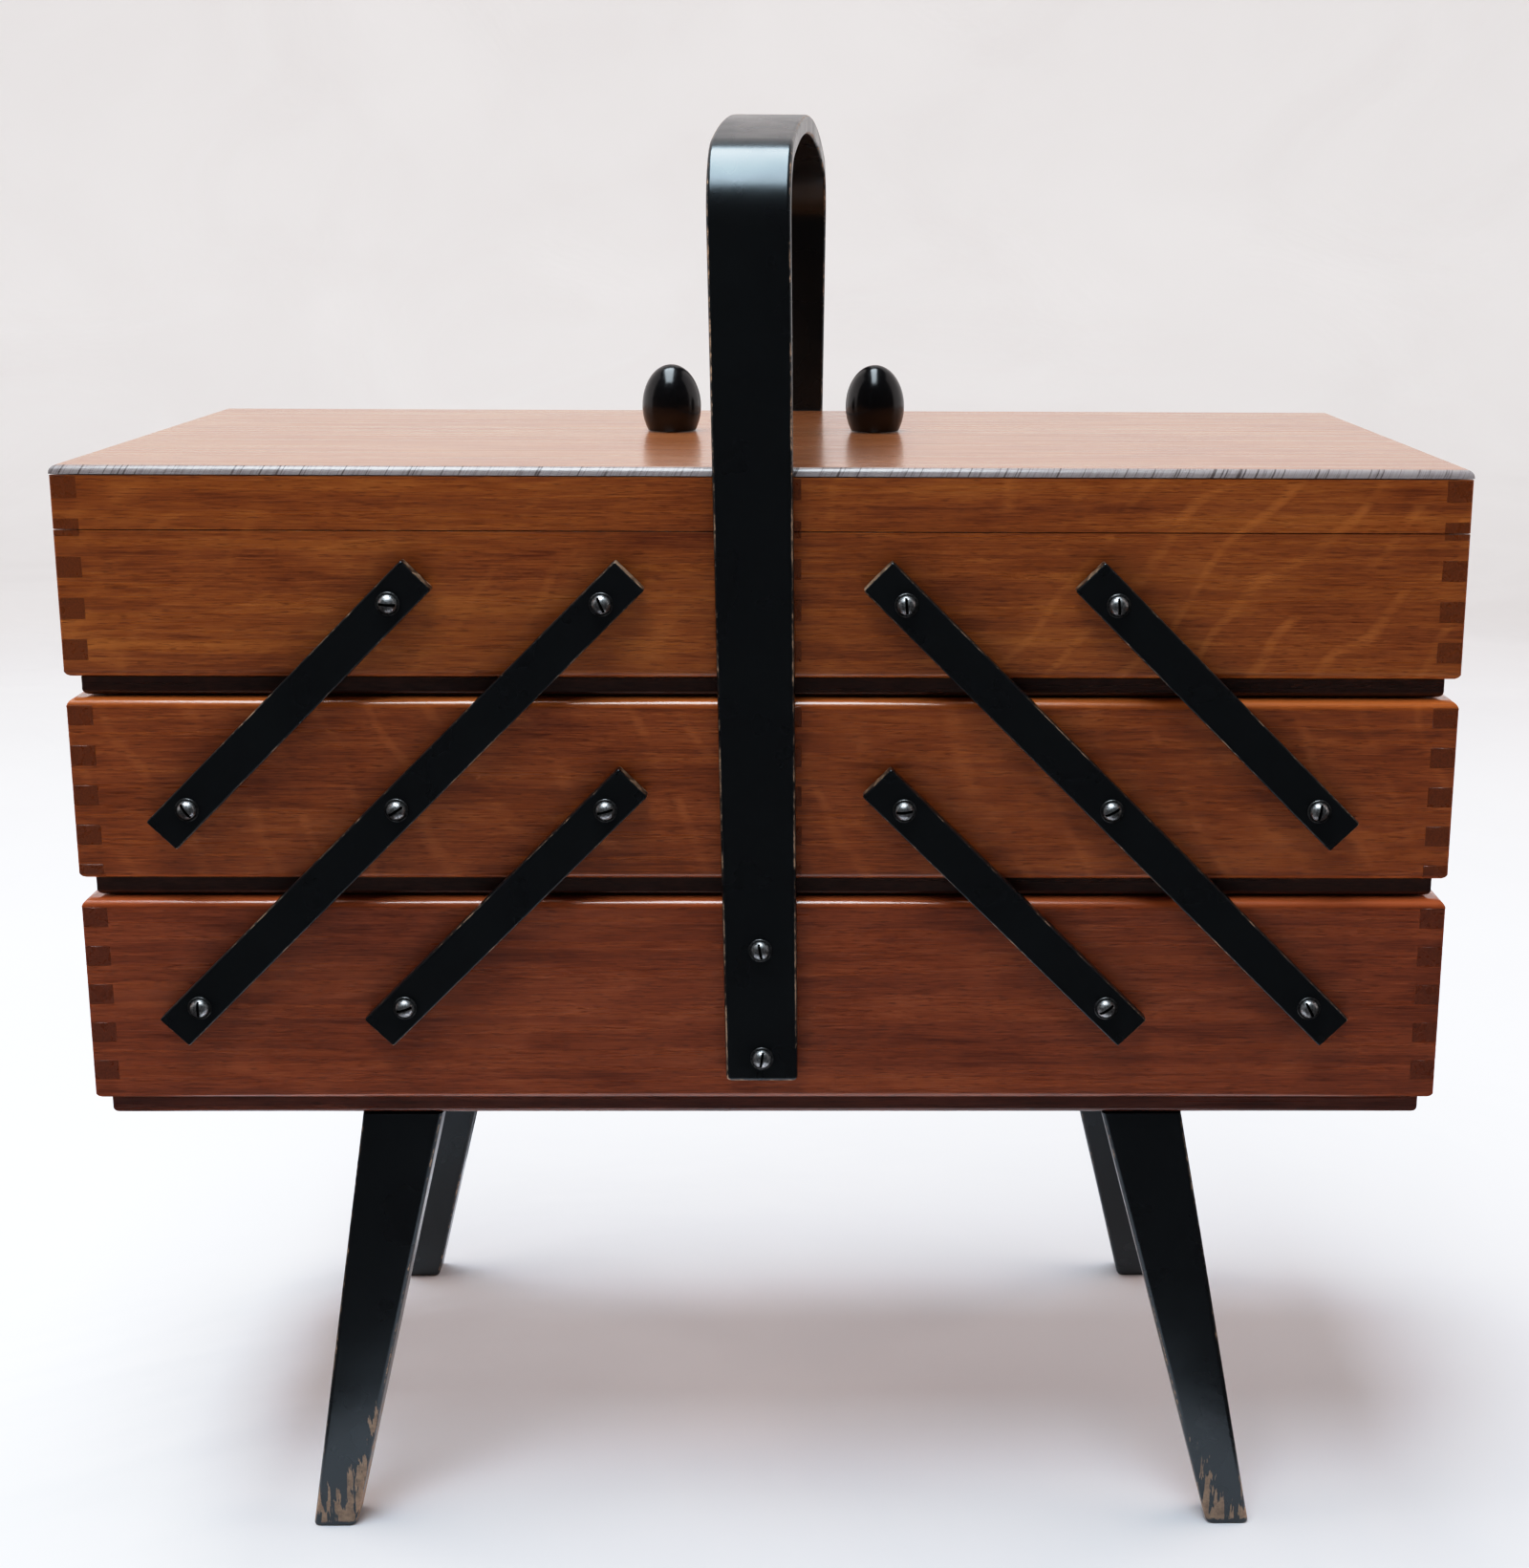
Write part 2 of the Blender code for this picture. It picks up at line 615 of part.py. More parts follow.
def cantilever_side(side, screw):
    """One side's arms, trays and lid, on their joint axes."""
    long_axis = add_axis(f"{side}_long_arm_axis", pivot_point(side, 2, 0))
    lower_axis = add_axis(f"{side}_lower_short_arm_axis", pivot_point(side, 1, 0))
    middle_axis = add_axis(f"{side}_middle_tray_axis", pivot_point(side, 1, 1), long_axis)
    upper_axis = add_axis(f"{side}_upper_tray_axis", pivot_point(side, 0, 2), long_axis)
    short_axis = add_axis(f"{side}_upper_short_arm_axis", pivot_point(side, 2, 1), middle_axis)
    hinge_line = Vector((SIDES[side] * HINGE_AXIS_X, 0, HINGE_AXIS_Z))
    lid_axis = add_axis(f"{side}_lid_axis", hinge_line, upper_axis)
    arm_pair(side, "long_arm", long_axis)
    arm_pair(side, "lower_short_arm", lower_axis)
    arm_pair(side, "upper_short_arm", short_axis)
    middle_tray(side, middle_axis)
    upper_tray(side, upper_axis)
    lid(side, lid_axis)
    knob(side, lid_axis)
    hinges(side, upper_axis, lid_axis)
    pivot_screws(side, screw, (None, middle_axis, upper_axis))


def clear_scene():
    for old in list(bpy.data.objects):
        bpy.data.objects.remove(old)


def main():
    lower_box()
    for corner in LEG_INSETS:
        leg(corner)
    handle()
    handle_screw = screw_mesh("handle_screw", HANDLE_STANDOFF, HANDLE_THICKNESS)
    for number, (face, point) in enumerate(handle_screw_points()):
        place = "lower" if number % 2 == 0 else "upper"
        add_screw(f"handle_{face}_{place}_screw", handle_screw, point, face, math.radians(70 * number))
    pivot_screw = screw_mesh("pivot_screw", ARM_STANDOFF, ARM_THICKNESS)
    for side in SIDES:
        cantilever_side(side, pivot_screw)
    for piece in PARTS.objects:
        if piece.type == "MESH":
            piece.data.shade_smooth()
            piece.data.set_sharp_from_angle(angle=math.radians(35))


clear_scene()
PARTS = new_collection("sewing_box")
CUTTERS = new_collection("cutters")
WOOD = material("varnished_beech", (0.25, 0.09, 0.03), 0.3)
BLACK_PAINT = material("black_paint", (0.006, 0.006, 0.007), 0.3)
STEEL = material("plated_steel", (0.55, 0.54, 0.52), 0.3, 1.0)
BRASS = material("brass", (0.65, 0.45, 0.16), 0.35, 1.0)
main()
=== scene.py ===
"""The looks of the cantilever sewing box: jointed boards, turned screws, and painted arms, legs and handle.

Metres, +Z up, the front faces -Y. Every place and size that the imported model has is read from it.
"""

import json
import math
import random

import bmesh
import bpy
from mathutils import Matrix, Vector


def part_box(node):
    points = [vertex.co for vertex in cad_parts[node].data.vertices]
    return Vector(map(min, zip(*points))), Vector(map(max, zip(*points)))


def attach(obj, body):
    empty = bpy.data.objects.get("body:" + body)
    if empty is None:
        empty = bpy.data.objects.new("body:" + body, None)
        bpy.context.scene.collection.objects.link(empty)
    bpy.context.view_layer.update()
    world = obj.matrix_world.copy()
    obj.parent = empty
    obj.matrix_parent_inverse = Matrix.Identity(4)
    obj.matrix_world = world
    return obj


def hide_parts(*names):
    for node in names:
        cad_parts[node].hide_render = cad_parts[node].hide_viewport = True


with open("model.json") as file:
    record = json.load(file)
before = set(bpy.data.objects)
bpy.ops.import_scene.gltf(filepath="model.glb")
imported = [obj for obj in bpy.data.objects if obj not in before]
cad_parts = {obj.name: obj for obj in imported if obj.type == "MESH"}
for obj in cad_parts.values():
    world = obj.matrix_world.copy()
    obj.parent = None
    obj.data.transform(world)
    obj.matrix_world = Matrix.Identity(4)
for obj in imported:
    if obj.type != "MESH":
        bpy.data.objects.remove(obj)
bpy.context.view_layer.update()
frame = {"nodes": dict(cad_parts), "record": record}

SIDES = {"left": -1, "right": 1}
FACES = {"front": -1, "rear": 1}

# Boards: walls of the box and trays, with their rounded rims
WALL = 0.008
RIM_RADIUS = 0.003
FOOT_RADIUS = 0.0026
CORNER_RADIUS = 0.0008
LID_TOP_RADIUS = 0.0023
BASE_RADIUS = 0.002
RIM_STEPS = 6
FOOT_STEPS = 4
CORNER_STEPS = 3
ARRIS = 0.00012
JOINT_GAP = 0.00003
SAME_PLACE = 1e-6

# Finger joints: the end boards' fingers, from each frame's top down
FINGER_PITCH = 0.0127
FINGER_HEIGHT = 0.0064
FINGER_START = {"lower_box": 0.0027, "middle_tray": 0.0020, "upper_tray": -0.0046, "lid": 0.0004}
FINGER_LEAST_HEIGHT = 0.0003

# Screws
SHANK_RADIUS = 0.00175
HOLE_RADIUS = 0.00205
WASHER_RADIUS = 0.0037
WASHER_THICKNESS = 0.0008
HEAD_RADIUS = 0.0029
HEAD_HEIGHT = 0.0021
SLOT_WIDTH = 0.0008
SLOT_DEPTH = 0.0011
SHANK_IN_WOOD = 0.006
SHANK_POINT = 0.0015
CLEARANCE = 0.0003
DOME_STEPS = 10
SCREW_STEPS = 32
PLATE, DARKER, SLOT_SHADE = range(3)

# Painted pieces
ARM_WIDTH = 0.0126
ARM_OVERHANG = 0.0123
ARM_EDGE = 0.0007
LEG_EDGE = 0.0016
HANDLE_THICKNESS = 0.0062
HANDLE_FOOT_WIDTH = 0.0227
HANDLE_TOP_WIDTH = 0.0251
HANDLE_CORNER_RADIUS = 0.026
HANDLE_CROWN_RADIUS = 0.420
HANDLE_EDGE = 0.0014
HANDLE_X = {"front": (-0.0013, -0.0042), "rear": (0.0024, 0.0060)}
STRAIGHT_STEPS = 40
CORNER_BEND_STEPS = 24
CROWN_STEPS = 16
LEG_STEPS = 24
LEG_SOLE = 0.0012
KNOB_BASE_RADIUS = 0.0083
KNOB_WIDEST_SHARE = 0.364
KNOB_STEPS = 40
KNOB_UPPER_STEPS = 16
KNOB_LOWER_STEPS = 8
SPIGOT_RADIUS = 0.002
SPIGOT_HOLE_RADIUS = 0.0023

# Varnished beech, in linear colours: light, middle and dark streaks, and the boards' ends
WOOD_TONES = {
    "upper": ((0.44, 0.144, 0.029), (0.295, 0.075, 0.013), (0.145, 0.028, 0.005), (0.21, 0.049, 0.010)),
    "middle": ((0.41, 0.120, 0.028), (0.27, 0.060, 0.011), (0.125, 0.023, 0.005), (0.19, 0.041, 0.009)),
    "lower": ((0.36, 0.092, 0.028), (0.245, 0.050, 0.013), (0.120, 0.021, 0.006), (0.175, 0.036, 0.011)),
    # The lower box's base: tones darkened as painted shade, for where the base sits in shadow under the box
    "base": ((0.17, 0.042, 0.019), (0.100, 0.023, 0.011), (0.045, 0.012, 0.007), (0.050, 0.013, 0.008)),
    "lid": ((0.44, 0.180, 0.075), (0.35, 0.127, 0.047), (0.235, 0.073, 0.024), (0.18, 0.070, 0.036)),
    # The tray bases' end tone is painted shade, dark for the gap under each tray; their other tones are the
    # wood's own
    "tray_base": ((0.40, 0.150, 0.052), (0.29, 0.090, 0.027), (0.17, 0.042, 0.013), (0.060, 0.020, 0.011)),
}
# Curly light veins: strength, tilt in degrees, spacing, and the x from which they grow to their full strength
FIGURES = {"upper": (0.46, -38, 0.017, 0.05), "middle": (0.30, 28, 0.019, -0.30)}
FIGURE_GROWTH = 0.09
# Between the bands of a wave texture of scale 1
WAVE_SPACING = 0.314
# Varnish: how much of it, and its roughness
BOARD_VARNISH = (0.9, 0.13)
LID_VARNISH = (0.55, 0.17)
LID_EDGE_TONES = ((0.30, 0.255, 0.245), (0.43, 0.38, 0.375))
LID_EDGE_TICKS = (0.060, 0.036, 0.032)

# Paint and the wood under it
PAINT_TONES = ((0.0045, 0.0045, 0.005), (0.010, 0.010, 0.011))
PAINT_SHEEN_TINT = (0.80, 0.93, 1.0, 1.0)
LACQUER_TONES = ((0.004, 0.004, 0.0045), (0.008, 0.008, 0.009))
BARE_TONES = ((0.20, 0.125, 0.075), (0.36, 0.235, 0.145))
ARM_WEAR = 0.85
LEG_WEAR = 0.5
FOOT_WEAR_HEIGHTS = (0.0125, 0.036)
RIGHT_FOOT_WEAR = 0.7

# Metals: dark, middle and light
PLATE_GREYS = (0.14, 0.52, 0.80)
# Washers and shanks: a darker grey than the heads' plate
WASHER_GREYS = (0.06, 0.16, 0.30)
# Near black: painted shade inside the screws' slots
SLOT_GREYS = (0.004, 0.008, 0.02)
BRASS_TONES = ((0.16, 0.10, 0.035), (0.48, 0.33, 0.13), (0.66, 0.49, 0.22))

# Backdrop paper
FLOOR_TONES = ((0.79, 0.815, 0.87), (0.81, 0.835, 0.89))
BACKDROP_TONES = ((0.635, 0.595, 0.585), (0.675, 0.635, 0.625))
GLOW_TONES = ((0.96, 0.93, 0.925), (1.0, 0.975, 0.97))

# Lights: place, target, size, watts and colour
LIGHTS = {
    "skylight": ((-0.27, -0.25, 2.1), (-0.27, -0.25, 0.0), (0.95, 2.1), 57.5, (0.82, 0.925, 1.0)),
    "left_fill": ((-1.6, 0.15, 0.62), (0.0, 0.05, 0.0), (1.5, 0.9), 15.0, (1.0, 0.85, 0.77)),
    "right_fill": ((1.6, 0.25, 0.55), (0.0, 0.05, 0.0), (1.5, 0.8), 16.0, (1.0, 0.80, 0.71)),
}
ROOM_COLOUR = (0.95, 0.93, 0.95, 1.0)
ROOM_STRENGTH = 0.03

# How bright light shows in the picture: (light, shown)
SHOULDER_WHITE = 2.4
SHOULDER = ((0.2, 0.2), (0.4, 0.4), (0.7, 0.655), (1.0, 0.785), (1.5, 0.865), (2.4, 0.90))

# The paper cove round the box
BACKDROP_GLOW = 0.40
STAGE_NEAR = 0.24
STAGE_RADIUS = 3.6
STAGE_SWEEP = 1.2
STAGE_HEIGHT = 5.0
STAGE_STEP = 5
SWEEP_STEPS = 16

# Camera
CAMERA_PLACE = (0.01846, -0.80181, 0.4321)
CAMERA_YAW = math.radians(-0.84)
CAMERA_PITCH = math.radians(-13.49)
CAMERA_ROLL = math.radians(-0.30)
CAMERA_LENS = 52.93
CAMERA_SENSOR = 36.0
CAMERA_SHIFT = (-0.0597, -0.0099)


# ---------------------------------------------------------------- shader building

class Shader:
    """A material's node tree with short calls for what the materials below use."""

    def __init__(self, name):
        self.material = bpy.data.materials.new(name)
        self.material.use_nodes = True
        self.tree = self.material.node_tree
        self.principled = self.tree.nodes["Principled BSDF"]

    def node(self, kind, **settings):
        made = self.tree.nodes.new("ShaderNode" + kind)
        for key, value in settings.items():
            setattr(made, key, value)
        return made

    def feed(self, socket, value):
        if isinstance(value, bpy.types.NodeSocket):
            self.tree.links.new(value, socket)
        else:
            socket.default_value = value

    def set(self, **values):
        """Sets inputs of the Principled shader, written as words with underscores."""
        for key, value in values.items():
            self.feed(self.principled.inputs[key.replace("_", " ").title().replace("Ior", "IOR")], value)

    def attribute(self, name):
        return self.node("Attribute", attribute_name=name)

    def stretched(self, vector, scale, shift=(0, 0, 0)):
        mapping = self.node("Mapping")
        self.feed(mapping.inputs["Vector"], vector)
        mapping.inputs["Scale"].default_value = scale
        mapping.inputs["Location"].default_value = shift
        return mapping.outputs["Vector"]

    def noise(self, vector, scale=1.0, detail=2.0, roughness=0.5, distortion=0.0):
        made = self.node("TexNoise")
        self.feed(made.inputs["Vector"], vector)
        made.inputs["Scale"].default_value = scale
        made.inputs["Detail"].default_value = detail
        made.inputs["Roughness"].default_value = roughness
        made.inputs["Distortion"].default_value = distortion
        return made.outputs["Fac"]

    def ramp(self, value, stops):
        """Colours along a value: stops are (position, colour)."""
        made = self.node("ValToRGB")
        self.feed(made.inputs["Fac"], value)
        elements = made.color_ramp.elements
        while len(elements) < len(stops):
            elements.new(0.5)
        for element, (position, colour) in zip(elements, stops):
            element.position = position
            element.color = (*colour, 1.0)
        return made.outputs["Color"]

    def mix(self, factor, first, second):
        made = self.node("Mix", data_type="RGBA", blend_type="MIX")
        self.feed(made.inputs["Factor"], factor)
        for socket, value in ((made.inputs[6], first), (made.inputs[7], second)):
            self.feed(socket, (*value, 1.0) if isinstance(value, tuple) else value)
        return made.outputs[2]

    def math(self, operation, first, second):
        made = self.node("Math", operation=operation)
        self.feed(made.inputs[0], first)
        self.feed(made.inputs[1], second)
        return made.outputs["Value"]

    def span(self, value, low, high, to_low=0.0, to_high=1.0):
        """Maps low..high to to_low..to_high, clamped."""
        made = self.node("MapRange")
        self.feed(made.inputs["Value"], value)
        self.feed(made.inputs["From Min"], low)
        self.feed(made.inputs["From Max"], high)
        self.feed(made.inputs["To Min"], to_low)
        self.feed(made.inputs["To Max"], to_high)
        return made.outputs["Result"]

    def bump(self, height, strength, distance):
        made = self.node("Bump")
        made.inputs["Strength"].default_value = strength
        made.inputs["Distance"].default_value = distance
        self.feed(made.inputs["Height"], height)
        self.feed(self.principled.inputs["Normal"], made.outputs["Normal"])


# ---------------------------------------------------------------- materials

def wood_material(kind):
    """Varnished beech. The boards carry their grain space: x runs along the grain, z is the way it grew."""
    light, middle, dark, end_tone = WOOD_TONES[kind]
    shader = Shader(f"beech_{kind}")
    grain = shader.attribute("grain").outputs["Vector"]
    place = shader.node("TexCoord").outputs["Object"]
    streaks = shader.noise(shader.stretched(grain, (70, 2300, 2300)), detail=4.0, roughness=0.75)
    dashes = shader.noise(shader.stretched(grain, (230, 2900, 2900), (7, 3, 5)), detail=1.0)
    bands = shader.noise(shader.stretched(grain, (6, 260, 260)), detail=4.0, roughness=0.6, distortion=0.4)
    blotches = shader.noise(shader.stretched(grain, (20, 60, 60)), detail=3.0, roughness=0.6, distortion=0.6)
    tone = shader.math("ADD", shader.math("MULTIPLY", streaks, 0.52), shader.math("MULTIPLY", bands, 0.30))
    tone = shader.math("ADD", tone, shader.math("MULTIPLY", blotches, 0.30))
    colour = shader.ramp(tone, [(0.42, dark), (0.56, middle), (0.72, light)])
    if kind in FIGURES:
        vein = curly_veins(shader, grain, place, blotches, *FIGURES[kind])
        colour = shader.mix(vein, colour, brighter(light, 1.25))
    fleck_mask = shader.span(dashes, 0.58, 0.70, 0.0, 0.60)
    colour = shader.mix(fleck_mask, colour, brighter(dark, 0.8))
    pores = shader.noise(shader.stretched(grain, (300, 1900, 1900)), detail=2.0)
    end = shader.attribute("end").outputs["Fac"]
    end_colour = shader.mix(shader.span(pores, 0.30, 0.70), brighter(end_tone, 0.55), end_tone)
    colour = shader.mix(end, colour, end_colour)
    # Painted highlight: the rounded outer rims turn lighter towards their tops, where the light from above
    # falls
    worn = shader.attribute("worn").outputs["Fac"]
    colour = shader.mix(shader.math("MULTIPLY", worn, 0.75), colour, brighter(light, 1.75))
    gloss = shader.span(bands, 0.3, 0.7, 0.34, 0.24)
    relief = shader.math("ADD", streaks, fleck_mask)
    if kind == "lid":
        colour, gloss, relief = cut_plies(shader, place, colour, gloss, relief)
    coat, coat_roughness = LID_VARNISH if kind == "lid" else BOARD_VARNISH
    shader.set(base_color=colour, roughness=gloss, specular_ior_level=0.5)
    shader.set(coat_weight=coat, coat_roughness=coat_roughness)
    shader.bump(relief, 0.12, 0.00012)
    return shader.material


def brighter(colour, factor):
    return tuple(min(1.0, channel * factor) for channel in colour)


def curly_veins(shader, grain, place, blotches, strength, tilt, spacing, start):
    """A mask of wavy veins across the grain, in patches."""
    turned_grain = shader.node("Mapping")
    shader.feed(turned_grain.inputs["Vector"], grain)
    turned_grain.inputs["Rotation"].default_value = (0, math.radians(tilt), 0)
    wave = shader.node("TexWave", wave_type="BANDS", bands_direction="X", wave_profile="SIN")
    shader.feed(wave.inputs["Vector"], turned_grain.outputs["Vector"])
    wave.inputs["Scale"].default_value = WAVE_SPACING / spacing
    wave.inputs["Distortion"].default_value = 9.0
    wave.inputs["Detail"].default_value = 2.0
    wave.inputs["Detail Scale"].default_value = 0.8
    split = shader.node("SeparateXYZ")
    shader.feed(split.inputs["Vector"], place)
    where = shader.span(split.outputs["X"], start, start + FIGURE_GROWTH, 0.35, 1.0)
    patch = shader.span(blotches, 0.42, 0.60)
    vein = shader.span(wave.outputs["Fac"], 0.86, 1.0, 0.0, strength)
    return shader.math("MULTIPLY", shader.math("MULTIPLY", vein, where), patch)


def cut_plies(shader, place, colour, gloss, relief):
    """The rounded edge of a lid's plywood: pale, and crossed by the fine dark slanted ticks of its core."""
    rim = shader.attribute("rim").outputs["Fac"]
    slanted = shader.node("Mapping")
    shader.feed(slanted.inputs["Vector"], place)
    slanted.inputs["Rotation"].default_value = (0, math.radians(-28), 0)
    coarse = shader.noise(shader.stretched(slanted.outputs["Vector"], (1500, 30, 30)), detail=0.0)
    fine = shader.noise(shader.stretched(slanted.outputs["Vector"], (3000, 80, 120)), detail=2.0)
    coarse_ticks = shader.span(coarse, 0.62, 0.72, 0.0, 0.85)
    ticks = shader.math("MAXIMUM", coarse_ticks, shader.span(fine, 0.48, 0.72, 0.0, 0.6))
    edge_colour = shader.mix(ticks, shader.mix(fine, *LID_EDGE_TONES), LID_EDGE_TICKS)
    colour = shader.mix(rim, colour, edge_colour)
    ticks = shader.math("MULTIPLY", rim, ticks)
    gloss = shader.math("ADD", gloss, shader.math("MULTIPLY", ticks, 0.25))
    relief = shader.math("SUBTRACT", relief, shader.math("MULTIPLY", ticks, 2.0))
    return colour, gloss, relief


def painted_material(name, wear, legs=False):
    """Black gloss paint on wood, rubbed through along its edges and, on the front legs, at the feet."""
    shader = Shader(name)
    place = shader.node("TexCoord").outputs["Object"]
    edge = shader.attribute("edge").outputs["Fac"]
    fine = shader.noise(place, scale=420.0, detail=4.0, roughness=0.7)
    broad = shader.noise(place, scale=45.0, detail=3.0)
    rubbed = shader.math("ADD", shader.math("MULTIPLY", fine, 0.6), shader.math("MULTIPLY", broad, 0.55))
    mask = shader.span(shader.math("MULTIPLY", edge, rubbed), 0.62 - 0.12 * wear, 0.70 - 0.08 * wear)
    if legs:
        mask = shader.math("MAXIMUM", mask, foot_scuffs(shader, place, fine))
    bare = shader.ramp(fine, [(0.35, BARE_TONES[0]), (0.65, BARE_TONES[1])])
    paint = shader.mix(fine, *PAINT_TONES)
    shader.set(base_color=shader.mix(mask, paint, bare), coat_weight=0.15, coat_roughness=0.15)
    gloss = shader.span(broad, 0.3, 0.7, 0.24, 0.36)
    shader.set(roughness=shader.math("ADD", gloss, shader.math("MULTIPLY", mask, 0.35)))
    shader.set(specular_ior_level=0.85, specular_tint=PAINT_SHEEN_TINT)
    shader.bump(shader.math("SUBTRACT", fine, mask), 0.18, 0.00015)
    return shader.material


def foot_scuffs(shader, place, fine):
    """A mask of upright scratches at the feet, which reach highest on a leg's inner edge."""
    split = shader.node("SeparateXYZ")
    shader.feed(split.inputs["Vector"], place)
    height = split.outputs["Z"]
    scratch = shader.noise(shader.stretched(place, (560, 560, 90)), detail=3.0, roughness=0.6)
    inner = shader.attribute("inner").outputs["Fac"]
    reach = shader.span(shader.math("POWER", inner, 3.0), 0.0, 1.0, *FOOT_WEAR_HEIGHTS)
    fading = shader.math("MULTIPLY", shader.math("DIVIDE", height, reach), 0.17)
    foot = shader.span(shader.math("SUBTRACT", scratch, fading), 0.385, 0.41)
    sole = shader.span(shader.math("SUBTRACT", height, shader.math("MULTIPLY", fine, 0.003)), 0.0, 0.0006)
    scuffed = shader.attribute("scuffed").outputs["Fac"]
    return shader.math("MULTIPLY", foot, shader.math("MULTIPLY", sole, scuffed))


def knob_material():
    """The turned knobs' black lacquer, a little scuffed."""
    shader = Shader("black_lacquer")
    place = shader.node("TexCoord").outputs["Object"]
    fine = shader.noise(place, scale=700.0, detail=3.0)
    shader.set(base_color=shader.mix(fine, *LACQUER_TONES), roughness=shader.span(fine, 0.3, 0.7, 0.16, 0.24))
    shader.set(coat_weight=0.15, coat_roughness=0.14, specular_ior_level=0.42)
    shader.bump(fine, 0.03, 0.0001)
    return shader.material


def steel_material(name, greys):
    """Metal with dark spots: the screws' nickel plate, their washers, and the near-black painted shade inside
    their slots.
    """
    shader = Shader(name)
    place = shader.node("TexCoord").outputs["Object"]
    spots = shader.noise(place, scale=1400.0, detail=3.0, roughness=0.6)
    smudge = shader.noise(place, scale=380.0, detail=2.0)
    colour = shader.ramp(spots, [(stop, (grey,) * 3) for stop, grey in zip((0.30, 0.45, 0.70), greys)])
    shader.set(base_color=colour, metallic=1.0, roughness=shader.span(smudge, 0.3, 0.7, 0.30, 0.50))
    shader.bump(spots, 0.15, 0.0001)
    return shader.material


def brass_material():
    """Dulled brass of the hinges."""
    shader = Shader("dull_brass")
    place = shader.node("TexCoord").outputs["Object"]
    tarnish = shader.noise(place, scale=260.0, detail=4.0, roughness=0.65)
    colour = shader.ramp(tarnish, list(zip((0.32, 0.55, 0.75), BRASS_TONES)))
    shader.set(base_color=colour, metallic=1.0, roughness=shader.span(tarnish, 0.3, 0.7, 0.50, 0.28))
    shader.bump(tarnish, 0.10, 0.0001)
    return shader.material


def paper_material():
    """Faintly creased paper: white and cool near the box, greyer, warmer and glowing far out."""
    shader = Shader("backdrop_paper")
    place = shader.node("TexCoord").outputs["Object"]
    soft = shader.noise(place, scale=2.2, detail=4.0, roughness=0.55, distortion=1.5)
    out = shader.node("VectorMath", operation="LENGTH")
    shader.feed(out.inputs[0], place)
    distance = out.outputs["Value"]
    floor = shader.mix(shader.span(soft, 0.35, 0.65), *FLOOR_TONES)
    backdrop = shader.mix(shader.span(soft, 0.35, 0.65), *BACKDROP_TONES)
    shader.set(base_color=shader.mix(shader.span(distance, 0.7, 1.9), floor, backdrop))
    shader.set(roughness=0.9, specular_ior_level=0.15)
    shader.set(emission_color=shader.mix(shader.span(soft, 0.3, 0.7), *GLOW_TONES))
    shader.set(emission_strength=shader.span(distance, 0.6, 3.2, 0.0, BACKDROP_GLOW))
    shader.bump(soft, 0.30, 0.03)
    return shader.material


# ---------------------------------------------------------------- mesh building

def mesh_object(name, bm, material=None, smooth_angle=40):
    """An object for a bmesh in world coordinates."""
    bmesh.ops.recalc_face_normals(bm, faces=bm.faces)
    mesh = bpy.data.meshes.new(name)
    bm.to_mesh(mesh)
    bm.free()
    piece = bpy.data.objects.new(name, mesh)
    bpy.context.scene.collection.objects.link(piece)
    if material:
        mesh.materials.append(material)
    mesh.shade_smooth()
    mesh.set_sharp_from_angle(angle=math.radians(smooth_angle))
    return piece


def block(low, high):
    """A box between two corners."""
    low, high = Vector(low), Vector(high)
    bm = bmesh.new()
    bmesh.ops.create_cube(bm, size=1.0)
    size = Matrix.Diagonal((*(high - low), 1.0))
    bmesh.ops.transform(bm, matrix=Matrix.Translation((low + high) / 2) @ size, verts=bm.verts)
    return bm


def round_edges(bm, chosen, radius, steps):
    edges = [edge for edge in bm.edges if chosen(edge.verts[0].co, edge.verts[1].co)]
    bmesh.ops.bevel(
        bm, geom=edges, offset=radius, segments=steps, profile=0.5, affect="EDGES", clamp_overlap=True
    )


def level_at(z):
    return lambda a, b: abs(a.z - z) < SAME_PLACE and abs(b.z - z) < SAME_PLACE


def upright(a, b):
    return math.hypot(a.x - b.x, a.y - b.y) < SAME_PLACE


def rod(radius, start, end):
    """A round bar between two points."""
    start, end = Vector(start), Vector(end)
    bm = bmesh.new()
    bmesh.ops.create_cone(
        bm, cap_ends=True, segments=24, radius1=radius, radius2=radius, depth=(end - start).length
    )
    turn = (end - start).to_track_quat("Z", "Y").to_matrix().to_4x4()
    bmesh.ops.transform(bm, matrix=Matrix.Translation((start + end) / 2) @ turn, verts=bm.verts)
    return bm


def gathered(parts):
    """One bmesh of several."""
    whole = bmesh.new()
    for part in parts:
        bmesh.ops.recalc_face_normals(part, faces=part.faces)
        single = bpy.data.meshes.new("part")
        part.to_mesh(single)
        part.free()
        whole.from_mesh(single)
        bpy.data.meshes.remove(single)
    return whole


def apply_modifiers(piece):
    """Replaces the piece's mesh by its evaluated one."""
    bpy.context.view_layer.update()
    evaluated = piece.evaluated_get(bpy.context.evaluated_depsgraph_get())
    mesh = bpy.data.meshes.new_from_object(evaluated)
    old = piece.data
    piece.modifiers.clear()
    piece.data = mesh
    bpy.data.meshes.remove(old)


def boolean(piece, parts, operation):
    """Cuts shapes out of a piece (DIFFERENCE), or keeps what is inside them (INTERSECT)."""
    cutter = mesh_object("cutter", gathered(parts))
    modifier = piece.modifiers.new(operation, "BOOLEAN")
    modifier.operation = operation
    modifier.object = cutter
    modifier.solver = "EXACT"
    modifier.use_self = len(parts) > 1
    apply_modifiers(piece)
    mesh = cutter.data
    bpy.data.objects.remove(cutter)
    bpy.data.meshes.remove(mesh)


def soften(piece, width):
    """Breaks the sharp edges of a piece."""
    bevel = piece.modifiers.new("Arris", "BEVEL")
    bevel.width = width
    bevel.segments = 1
    bevel.limit_method = "ANGLE"
    bevel.angle_limit = math.radians(40)
    apply_modifiers(piece)
    keep_flats_flat(piece)


